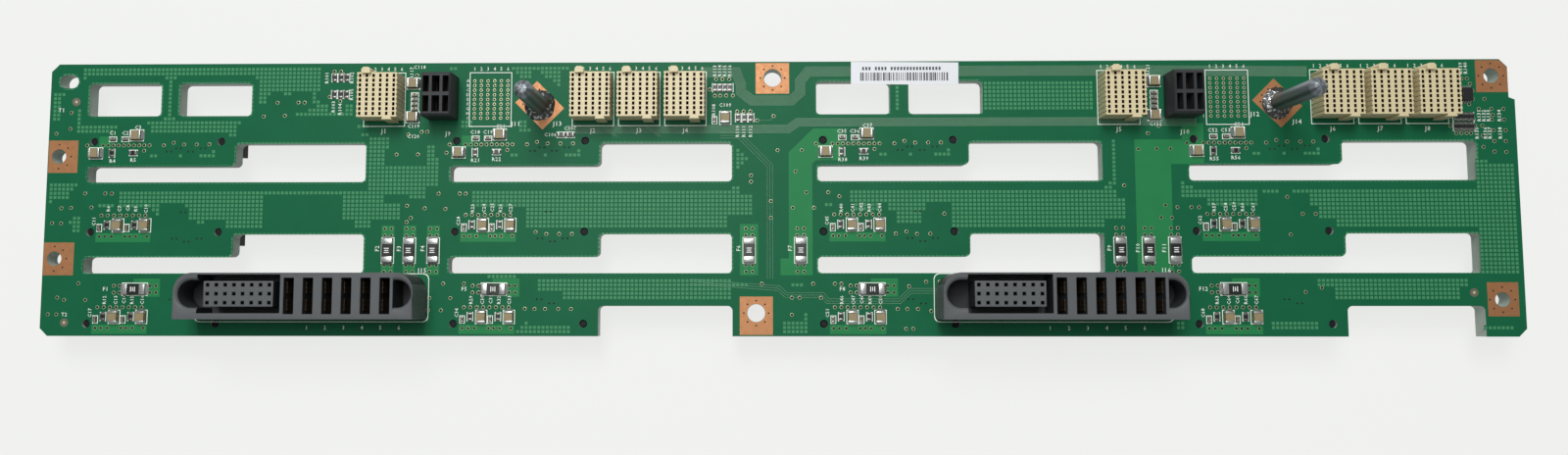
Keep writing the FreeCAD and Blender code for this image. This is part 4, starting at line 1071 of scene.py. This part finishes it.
class BACKPLANE_OT_legend(BackplaneOperator, bpy.types.Operator):
    """Print the outlines, numerals and plain running numbers of the legend"""

    bl_idname = "backplane.legend"
    bl_label = "Printed legend"

    def execute(self, context):
        line = self.sizes.ink_line / MM
        rise = self.sizes.ink_height / MM
        frames = [flat_shape([outline, grown(outline, -line)], TOP, rise)
                  for outline in self.boxes()]
        for supply in SUPPLY:
            low, high = (corner / MM for corner in supply)
            outline = self.rounded(low.x - 0.6, high.x + 0.6, low.y - 0.9, high.y + 0.2)
            inner = self.rounded(low.x - 0.6 + line, high.x + 0.6 - line, low.y - 0.9 + line,
                                 high.y + 0.2 - line)
            frames.append(flat_shape([outline, inner], TOP, rise))
        finish_piece(joined(frames), "legend_outlines", None, "ink")
        letters = [self.word(*entry) for entry in self.words()]
        finish_piece(joined(letters), "legend_letters", None, "ink")
        return {"FINISHED"}

    def rounded(self, x0, x1, y0, y1, radius=1.6):
        corners = ((x1 - radius, y1 - radius, 0), (x0 + radius, y1 - radius, 90),
                   (x0 + radius, y0 + radius, 180), (x1 - radius, y0 + radius, 270))
        return [(x + radius * math.cos(math.radians(start + turn)),
                 y + radius * math.sin(math.radians(start + turn)))
                for x, y, start in corners for turn in (0, 30, 60, 90)]

    def boxes(self):
        """An outline round each fitted part and each connector."""
        outlines = []
        for node, margin in (("large_capacitors", 0.45), ("small_capacitors", 0.4),
                             ("chip_resistors", 0.3), ("chip_fuses", 0.4)):
            for low, high in solids_of(node):
                outlines.append(rectangle(low.x - margin, high.x + margin, low.y - margin,
                                          high.y + margin))
        for place in SIGNALS:
            outlines.append(rectangle(place.x - 6.3, place.x + 6.3, 21.6, 38.0))
        for x in EMPTY_GRIDS:
            outlines.append(rectangle(x - 1.5, x + 11.25, 21.5, 38.0))
        return outlines

    def word(self, body, x, y, height, turn=0.0):
        deselect()
        bpy.ops.object.text_add(location=(0, 0, 0))
        text = bpy.context.object
        text.data.body = body
        text.data.size = height * MM * 1.4
        text.data.resolution_u = 1
        text.data.align_x = "CENTER"
        text.data.align_y = "CENTER"
        text.data.space_character = 1.12
        text.data.extrude = self.sizes.ink_height / 2
        bpy.ops.object.convert(target="MESH")
        text = bpy.context.object
        text.location = (x * MM, y * MM, TOP * MM + self.sizes.ink_height / 2)
        text.rotation_euler.z = turn
        return text

    def words(self):
        """Column numerals, row letters, and running numbers beside the parts."""
        words = []
        quarter = math.pi / 2
        half_row = SIGNAL_PITCH * (SIGNAL_COLUMNS - 1) / 2
        grids = [place.x for place in SIGNALS] + [x + half_row for x in EMPTY_GRIDS]
        for x in grids:
            words += [(str(index + 1), x - half_row + SIGNAL_PITCH * index, 39.0, 1.1)
                      for index in range(SIGNAL_COLUMNS)]
        for x in (-91.9, 127.2):
            words += [(letter, x, GRID_BACK - SIGNAL_ROW_PITCH * index, 0.9)
                      for index, letter in enumerate("ABCDEFGHI")]
        for index, place in enumerate(SIGNALS):
            words.append((f"J{index + 1}", place.x, 20.2, 1.4))
        for index, place in enumerate(POWERS):
            words.append((f"J{index + 9}", place.x + 1.5, 19.4, 1.4))
        words += [("J11", -77.3, 22.3, 1.4), ("J12", 142.3, 24.6, 1.4), ("J13", -64.8, 22.3, 1.4),
                  ("J14", 154.6, 22.3, 1.4), ("J15", -104.5, -21.6, 1.4),
                  ("J16", 114.9, -21.6, 1.4)]
        number = 0
        for x in COLUMNS:
            y = ROWS[0]
            for letter, a, b in (("C", 5.6, 2.6), ("C", 9.4, 2.6), ("C", 13.2, 4.3),
                                 ("R", 5.8, -5.9), ("R", 12.1, -5.6)):
                number += 1
                words.append((f"{letter}{number}", x + a, y + b, 1.15))
            for y in ROWS[1:]:
                for letter, a, b, turn in (("R", 5.3, 7.0, quarter), ("C", 8.7, 7.0, quarter),
                                           ("C", 11.2, 7.2, quarter), ("R", 13.6, 7.0, quarter),
                                           ("C", 16.7, 7.0, quarter), ("C", 1.1, 3.2, quarter)):
                    number += 1
                    words.append((f"{letter}{number}", x + a, y + b, 1.05, turn))
        for index, fuse in enumerate(solids_of("chip_fuses")):
            centre = middle(*fuse)
            if fuse[1].y - fuse[0].y > 4:
                words.append((f"F{index + 1}", centre.x - 3.1, centre.y + 0.6, 1.2, quarter))
            else:
                words.append((f"F{index + 1}", centre.x - 8.8, centre.y, 1.2))
        for index, (letter, x, y) in enumerate((
                ("R", -134.6, 36.5), ("R", -127.0, 36.5), ("R", -132.4, 27.7),
                ("R", -130.4, 26.9), ("R", -127.0, 31.4), ("C", -66.9, 19.0),
                ("C", -61.0, 20.9), ("R", -18.0, 26.4), ("C", -14.6, 27.8),
                ("R", -10.9, 19.9), ("R", -9.0, 19.9), ("R", -7.0, 19.9),
                ("R", -17.7, 38.2), ("R", -16.2, 38.2), ("R", -14.7, 38.2),
                ("R", -13.2, 38.2), ("R", -108.9, 37.9), ("C", -106.6, 39.6),
                ("C", -108.1, 21.7), ("C", -108.1, 18.6), ("R", 111.2, 38.0),
                ("C", 113.0, 21.8))):
            turn = quarter if letter == "R" else 0.0
            words.append((f"{letter}{101 + index}", x, y, 1.1, turn))
        for index, (x, y) in enumerate(((207.9, 24.0), (209.3, 24.0), (210.6, 24.0),
                                        (213.8, 24.0), (207.0, 18.8), (209.5, 18.8),
                                        (210.8, 18.8), (213.8, 18.8), (203.2, 38.2),
                                        (204.6, 38.2))):
            words.append((f"R{131 + index}", x, y, 1.1, quarter))
        words += [("J17", 150, -21.6, 1.2), ("T1", -215.0, 26.8, 1.2), ("T2", -211.3, -34.6, 1.1)]
        for supply in SUPPLY:
            low = supply[0] / MM
            words += [(str(index + 1), low.x + 33.2 + BLADE_PITCH * index, low.y - 2.6, 1.2)
                      for index in range(6)]
        return words


class BACKPLANE_OT_chips(BackplaneOperator, bpy.types.Operator):
    """Replace the small soldered parts with detailed ones"""

    bl_idname = "backplane.chips"
    bl_label = "Chip parts"

    def execute(self, context):
        for node, material, tinning, end, slot in (
                ("large_capacitors", "ceramic", "tin", 0.17, "capacitor_body"),
                ("small_capacitors", "small_ceramic", "dull_tin", 0.24, "capacitor_body"),
                ("chip_resistors", "film", "dull_tin", 0.25, "resistor_body"),
                ("chip_fuses", "film", "tin", 0.24, "fuse_body")):
            boxes = solids_of(node)
            spans = [high - low for low, high in boxes]
            long_side = max(spans[0].x, spans[0].y)
            short_side = min(spans[0].x, spans[0].y)
            chip = self.chip((long_side, short_side, spans[0].z), end, material, tinning)
            places = []
            for (low, high), span in zip(boxes, spans):
                spot = middle(low, high)
                places.append((spot.x, spot.y, TOP, math.pi / 2 if span.y > span.x else 0))
            made = copies(chip, places)
            finish_piece(made, node + "_soldered", slot, stands_for=(node,))
        self.driver()
        return {"FINISHED"}

    def chip(self, span, end, material, tinning):
        """One chip along X: a body, two plated ends, and a solder fillet at each."""
        length, width, height = span
        body = add_block(length * (1 - 2 * end), width * 0.97, height * 0.96)
        bevelled(body, min(width, height) * 0.05, 1)
        paint(body, material)
        parts = [body]
        for side in (-1, 1):
            cap = add_block(length * end, width, height, side * length * (0.5 - end / 2), 0)
            bevelled(cap, min(width, height) * 0.08, 2)
            toe = add_block(width * 0.28, width * 0.9, height * 0.6,
                            side * (length * 0.5 + width * 0.1), 0)
            for vertex in toe.data.vertices:
                if vertex.co.z > height * 0.3 * MM and vertex.co.x * side > length * 0.5 * MM:
                    vertex.co.z = 0.06 * MM
            paint(cap, tinning)
            paint(toe, tinning)
            parts += [cap, toe]
        if length > 5:
            for x, reach in ((-0.6, 1.5), (0, 1.2), (0.6, 1.5)):
                mark = add_block(0.24, reach, 0.03, x, 0, height * 0.96)
                parts.append(paint(mark, "ink"))
        return joined(parts)

    def driver(self):
        """The driver chip: a bevelled moulding with gull-wing leads."""
        low, high = (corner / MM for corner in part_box("driver_chip"))
        spot = middle(low, high)
        package = add_block(3.0, 3.9, 1.05, 0, 0, 0.15)
        bevelled(package, 0.14, 1)
        paint(package, "film")
        leads = []
        for index in range(4):
            for side in (-1, 1):
                x = 0.75 * (index - 1.5)
                for y, z, run, rise in ((2.05, 0.45, 0.3, 0.14), (2.24, 0.1, 0.12, 0.49),
                                        (2.43, 0.0, 0.44, 0.12)):
                    lead = add_block(0.34, run, rise, x, y * side, z)
                    paint(lead, "tin")
                    leads.append(lead)
        chip = joined([package] + leads)
        chip.location = (spot.x * MM, spot.y * MM, TOP * MM)
        finish_piece(chip, "driver_chip_leaded", "chip_package", stands_for=("driver_chip",))


class BACKPLANE_OT_signals(BackplaneOperator, bpy.types.Operator):
    """Round the edges of the signal receptacles and put their contacts in"""

    bl_idname = "backplane.signals"
    bl_label = "Signal receptacles"

    MIDDLE_ROW = 30.0
    MOUTH_LENGTH = 0.73
    MOUTH_WIDTH = 0.98
    MOUTH_HEIGHT = 2.6
    MOUTH_SET_BACK = 0.03
    LIP = 0.065
    SINK = 2.3

    def execute(self, context):
        for number in range(1, len(SIGNALS) + 1):
            softened(f"signal_receptacle_{number}", self.sizes.edge_radius / MM,
                     "beige_housing", "beige", (5.5, 6.8))
        level = TOP + SIGNAL_HEIGHT - self.MOUTH_HEIGHT - self.MOUTH_SET_BACK
        grid = [(place.x + SIGNAL_PITCH * (column - (SIGNAL_COLUMNS - 1) / 2),
                 self.MIDDLE_ROW + SIGNAL_ROW_PITCH * (line - (SIGNAL_ROWS - 1) / 2), level, 0)
                for place in SIGNALS for column in range(SIGNAL_COLUMNS)
                for line in range(SIGNAL_ROWS)]
        finish_piece(copies(self.mouth(), grid), "signal_contacts", "gold_contact")
        return {"FINISHED"}

    def mouth(self):
        """The narrowed mouth of a contact cavity, with the brown spring contact inside, and the same
        dark brown painted as shade on its inner walls.
        """
        box = add_block(self.MOUTH_LENGTH, self.MOUTH_WIDTH, self.MOUTH_HEIGHT)
        bpy.ops.object.mode_set(mode="EDIT")
        bpy.ops.mesh.select_mode(type="FACE")
        bpy.ops.mesh.select_all(action="DESELECT")
        bpy.ops.object.mode_set(mode="OBJECT")
        for face in box.data.polygons:
            face.select = face.normal.z > 0.9
        bpy.ops.object.mode_set(mode="EDIT")
        bpy.ops.mesh.inset(thickness=self.LIP * MM)
        bpy.ops.transform.resize(value=(1, 0.86, 1))
        bpy.ops.transform.translate(value=(0, 0, -self.SINK * MM))
        bpy.ops.mesh.select_mode(type="VERT")
        bpy.ops.object.mode_set(mode="OBJECT")
        paint(box, "beige", "bronze")
        # The floor stands for the spring contact; the inner walls of the mouth are plastic, and their
        # dark brown is painted shade.
        for face in box.data.polygons:
            inside = abs(face.center.x) < 0.34 * MM and abs(face.center.y) < 0.46 * MM
            if inside and 0.1 * MM < face.center.z < 2.55 * MM:
                face.material_index = 1
        return box


class BACKPLANE_OT_powers(BackplaneOperator, bpy.types.Operator):
    """Round the edges of the power receptacles and put their blades in"""

    bl_idname = "backplane.powers"
    bl_label = "Power receptacles"

    # The middle and the width of each column of cells, and how far each row is from the middle
    CELLS = ((-2.9, 1.8), (0, 2.3), (2.9, 1.8))
    CELL_ROW = 2.95

    def execute(self, context):
        blades = []
        for number, place in enumerate(POWERS, start=1):
            softened(f"power_receptacle_{number}", 0.08, "dark_housing", "grey", (3.9, 6.0))
            for column, width in self.CELLS:
                for row in (-self.CELL_ROW, self.CELL_ROW):
                    for side in (-1, 1):
                        blades.append((place.x + column + side * (width / 2 - 0.15),
                                       place.y + row, TOP + 1.7, 0))
        # The blades take the dark brass, which paints the shade of their slots.
        blade = add_block(0.16, 3.4, 2.4)
        bevelled(blade, 0.04, 1)
        finish_piece(copies(blade, blades), "power_blades", "gold_contact", "brass")
        return {"FINISHED"}


class BACKPLANE_OT_supplies(BackplaneOperator, bpy.types.Operator):
    """Round the edges of the supply connectors and shape their contacts"""

    bl_idname = "backplane.supplies"
    bl_label = "Supply connectors"

    def execute(self, context):
        for number in (1, 2):
            # The dark grey on the walls and floors inside the connector's hollow is painted shade.
            softened(f"supply_connector_{number}", 0.14, "black_housing", "black",
                     recess=("grey", 34.0, 5.8))
            boxes = solids_of(f"supply_contacts_{number}")
            leaves = []
            for low, high in boxes:
                spot = middle(low, high)
                first = SUPPLY[number - 1][0].x / MM + FIRST_BLADE
                slot = round((spot.x - first) / BLADE_PITCH)
                towards = first + BLADE_PITCH * slot - spot.x
                leaves.append((spot.x, spot.y, low.z, 0 if towards > 0 else math.pi))
            # The leaves take the dark brass, which paints the shade of their slots.
            leaf = self.leaf(boxes[0][1] - boxes[0][0] - Vector((0, 0, 1.2)))
            finish_piece(copies(leaf, leaves), f"supply_leaves_{number}", "gold_contact", "brass",
                         stands_for=(f"supply_contacts_{number}",))
        return {"FINISHED"}

    def leaf(self, span):
        """A leaf of three fingers that bow towards the middle of the slot."""
        fingers = []
        for index in range(3):
            finger = add_block(0.22, span.y / 3 - 0.18, span.z, 0,
                               (index - 1) * span.y / 3)
            bpy.ops.object.mode_set(mode="EDIT")
            bpy.ops.mesh.select_all(action="SELECT")
            bpy.ops.mesh.subdivide(number_cuts=4)
            bpy.ops.object.mode_set(mode="OBJECT")
            for vertex in finger.data.vertices:
                share = vertex.co.z / MM / span.z
                vertex.co.x += 0.45 * MM * math.sin(math.pi * share) ** 2
            fingers.append(finger)
        return joined(fingers)


class BACKPLANE_OT_pins(BackplaneOperator, bpy.types.Operator):
    """Smooth the guide pins and run the solder round them"""

    bl_idname = "backplane.pins"
    bl_label = "Guide pins"

    # The collar's rings, from the land up the pin: how far each draws in, and how far it rises
    RINGS = ((0.93, 0.35), (0.85, 0.5), (0.78, 0.5), (0.7, 0.75), (0.92, 0.3))
    WAVES = 12
    FIRST_SEED = 40

    def execute(self, context):
        for number, pin in enumerate(PINS, start=1):
            softened(f"guide_pin_{number}", 0.08, "pin_steel", "steel")
            self.solder(number, pin)
        return {"FINISHED"}

    def solder(self, number, pin):
        """An uneven collar of solder, drawn up the pin."""
        chance = random.Random(self.FIRST_SEED + number)
        radius = self.sizes.solder_radius / MM
        deselect()
        bpy.ops.mesh.primitive_circle_add(vertices=56, radius=radius * MM,
                                          location=(pin.x * MM, pin.y * MM, TOP * MM))
        collar = bpy.context.object
        settle(collar)
        bpy.ops.object.mode_set(mode="EDIT")
        bpy.ops.mesh.select_all(action="SELECT")
        centre = (pin.x * MM, pin.y * MM, TOP * MM)
        for scale, rise in self.RINGS:
            bpy.ops.mesh.extrude_edges_move(
                TRANSFORM_OT_translate={"value": (0, 0, rise * MM)})
            bpy.ops.transform.resize(value=(scale, scale, 1), center_override=centre)
        bpy.ops.object.mode_set(mode="OBJECT")
        wobble = [chance.uniform(-1, 1) for _ in range(self.WAVES)]
        for vertex in collar.data.vertices:
            offset = Vector((vertex.co.x - centre[0], vertex.co.y - centre[1]))
            turn = math.atan2(offset.y, offset.x)
            share = offset.length / (radius * MM)
            wave = sum(wobble[k] * math.cos((k % 6 + 1) * turn + k)
                       for k in range(self.WAVES)) / self.WAVES
            rise = vertex.co.z - centre[2]
            vertex.co.x += offset.x * wave * 0.22 * share
            vertex.co.y += offset.y * wave * 0.22 * share
            vertex.co.z += rise * wave * 0.9
        bpy.ops.object.mode_set(mode="EDIT")
        bpy.ops.mesh.select_all(action="SELECT")
        bpy.ops.mesh.normals_make_consistent(inside=False)
        bpy.ops.object.mode_set(mode="OBJECT")
        smooth = collar.modifiers.new("smooth", "SUBSURF")
        smooth.levels = smooth.render_levels = 1
        bpy.ops.object.modifier_apply(modifier=smooth.name)
        bpy.ops.object.shade_smooth()
        finish_piece(collar, f"solder_collar_{number}", "solder", "solder",
                     stands_for=(f"pin_solder_{number}",))


class BACKPLANE_OT_drives(BackplaneOperator, bpy.types.Operator):
    """Finish the drive connectors of the far side, with their contacts and tails"""

    bl_idname = "backplane.drives"
    bl_label = "Drive connectors"

    CONTACTS = 29
    CONTACT_PITCH = 1.27
    HALF_ROW = 17.8
    TAIL_REACH = 3.3

    def execute(self, context):
        tails = []
        leaves = []
        for number in range(1, 13):
            node = f"drive_connector_{number}"
            softened(node, 0.1, "black_housing", "jet")
            spot = node_middle(node)
            for index in range(self.CONTACTS):
                x = spot.x - self.HALF_ROW + self.CONTACT_PITCH * index
                tails += [(x, spot.y + side * self.TAIL_REACH, UNDER - 0.16, 0)
                          for side in (-1, 1)]
                if 0 < index < self.CONTACTS - 1:
                    leaves.append((x, spot.y + 1.1, 1.0, 0))
        tail = add_block(0.35, 0.62, 0.16)
        bevelled(tail, 0.03, 1)
        finish_piece(copies(tail, tails), "drive_connector_tails", "gold_contact", "tin")
        leaf = add_block(0.5, 0.14, 3.8)
        finish_piece(copies(leaf, leaves), "drive_connector_leaves", "gold_contact", "gold")
        return {"FINISHED"}


class BACKPLANE_OT_label(BackplaneOperator, bpy.types.Operator):
    """Finish the paper label, with plain bars in place of print"""

    bl_idname = "backplane.label"
    bl_label = "Label"

    BAR_WIDTHS = (0.2, 0.2, 0.35, 0.5)
    BAR_GAPS = (0.2, 0.3, 0.45)
    # The short bars above: where each group starts from the label's end, and how many it has
    GROUPS = ((3.4, 3), (7.2, 4), (11.9, 16))

    def execute(self, context):
        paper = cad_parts["id_label"]
        paint(paper, "paper")
        low, high = (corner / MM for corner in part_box("id_label"))
        chance = random.Random(7)
        bars = []
        x = low.x + 2.8
        while x < high.x - 3.2:
            width = chance.choice(self.BAR_WIDTHS)
            bars.append(rectangle(x, x + width, low.y + 1.3, low.y + 3.8))
            x += width + chance.choice(self.BAR_GAPS)
        for group, count in self.GROUPS:
            for index in range(count):
                x = low.x + group + 0.95 * index
                bars.append(rectangle(x, x + 0.6, low.y + 4.5, low.y + 5.5))
        plate = flat_shape(bars, high.z - 0.005, 0.012)
        finish_piece(plate, "label_bars", "label_paper", "print")
        return {"FINISHED"}


class BACKPLANE_OT_stage(BackplaneOperator, bpy.types.Operator):
    """Lay the bench and set up the lights and the camera"""

    bl_idname = "backplane.stage"
    bl_label = "Stage"

    # A wide lens that looks down from over the middle of the board, in millimetres and radians
    LENS = 24.75
    SENSOR = 36
    EYE = (-4.85, -33.78, 318.28)
    TURN = (0.07531, 0.01716, -0.00113)

    def execute(self, context):
        scene = context.scene
        deselect()
        bpy.ops.mesh.primitive_plane_add(size=6, location=(0, 0, 0))
        floor = context.object
        floor.name = "bench"
        floor.data.materials.append(MATERIALS["floor"])
        self.light("key_light", (-0.15, 1.0, 1.45), 0.7, 18.5)
        self.light("overhead_light", (-0.1, 0.13, 0.55), 0.3, 1.15)
        world = bpy.data.worlds.new("studio")
        scene.world = world
        world.use_nodes = True
        background = world.node_tree.nodes["Background"]
        background.inputs["Color"].default_value = (1, 1, 1, 1)
        background.inputs["Strength"].default_value = 0.3
        data = bpy.data.cameras.new("camera")
        data.sensor_width = self.SENSOR
        data.lens = self.LENS
        data.shift_x = 0.0284
        data.shift_y = 0.0020
        data.clip_start = 0.01
        camera = bpy.data.objects.new("camera", data)
        scene.collection.objects.link(camera)
        camera.rotation_mode = "ZYX"
        camera.rotation_euler = self.TURN
        camera.location = (Vector(self.EYE) + Vector((0, 0, TOP))) * MM
        scene.camera = camera
        scene.view_settings.view_transform = "Standard"
        return {"FINISHED"}

    def light(self, name, place, size, power):
        data = bpy.data.lights.new(name, "AREA")
        data.size = size
        data.energy = power
        lamp = bpy.data.objects.new(name, data)
        lamp.location = place
        lamp.rotation_euler = (-Vector(place)).to_track_quat("-Z", "Y").to_euler()
        bpy.context.scene.collection.objects.link(lamp)


OPERATORS = (
    BACKPLANE_OT_board, BACKPLANE_OT_lands, BACKPLANE_OT_vias, BACKPLANE_OT_legend,
    BACKPLANE_OT_chips, BACKPLANE_OT_signals, BACKPLANE_OT_powers, BACKPLANE_OT_supplies,
    BACKPLANE_OT_pins, BACKPLANE_OT_drives, BACKPLANE_OT_label, BACKPLANE_OT_stage)


class BACKPLANE_PT_panel(bpy.types.Panel):
    """Lists the pieces of the board"""

    bl_label = "Drive backplane board"
    bl_idname = "BACKPLANE_PT_panel"
    bl_space_type = "VIEW_3D"
    bl_region_type = "UI"
    bl_category = "Backplane"

    def draw(self, context):
        for operator in OPERATORS:
            self.layout.operator(operator.bl_idname)
        for group in (context.scene.backplane_sizes, context.scene.backplane_colours):
            for name in group.__annotations__:
                self.layout.prop(group, name)


CLASSES = (BackplaneSizes, BackplaneColours, *OPERATORS, BACKPLANE_PT_panel)


def register():
    for made in CLASSES:
        bpy.utils.register_class(made)
    bpy.types.Scene.backplane_sizes = bpy.props.PointerProperty(type=BackplaneSizes)
    bpy.types.Scene.backplane_colours = bpy.props.PointerProperty(type=BackplaneColours)


def unregister():
    del bpy.types.Scene.backplane_colours
    del bpy.types.Scene.backplane_sizes
    for made in reversed(CLASSES):
        bpy.utils.unregister_class(made)


def main():
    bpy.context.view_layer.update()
    register()
    make_materials()
    for operator in OPERATORS:
        family, action = operator.bl_idname.split(".")
        getattr(getattr(bpy.ops, family), action)()


if __name__ == "__main__":
    main()
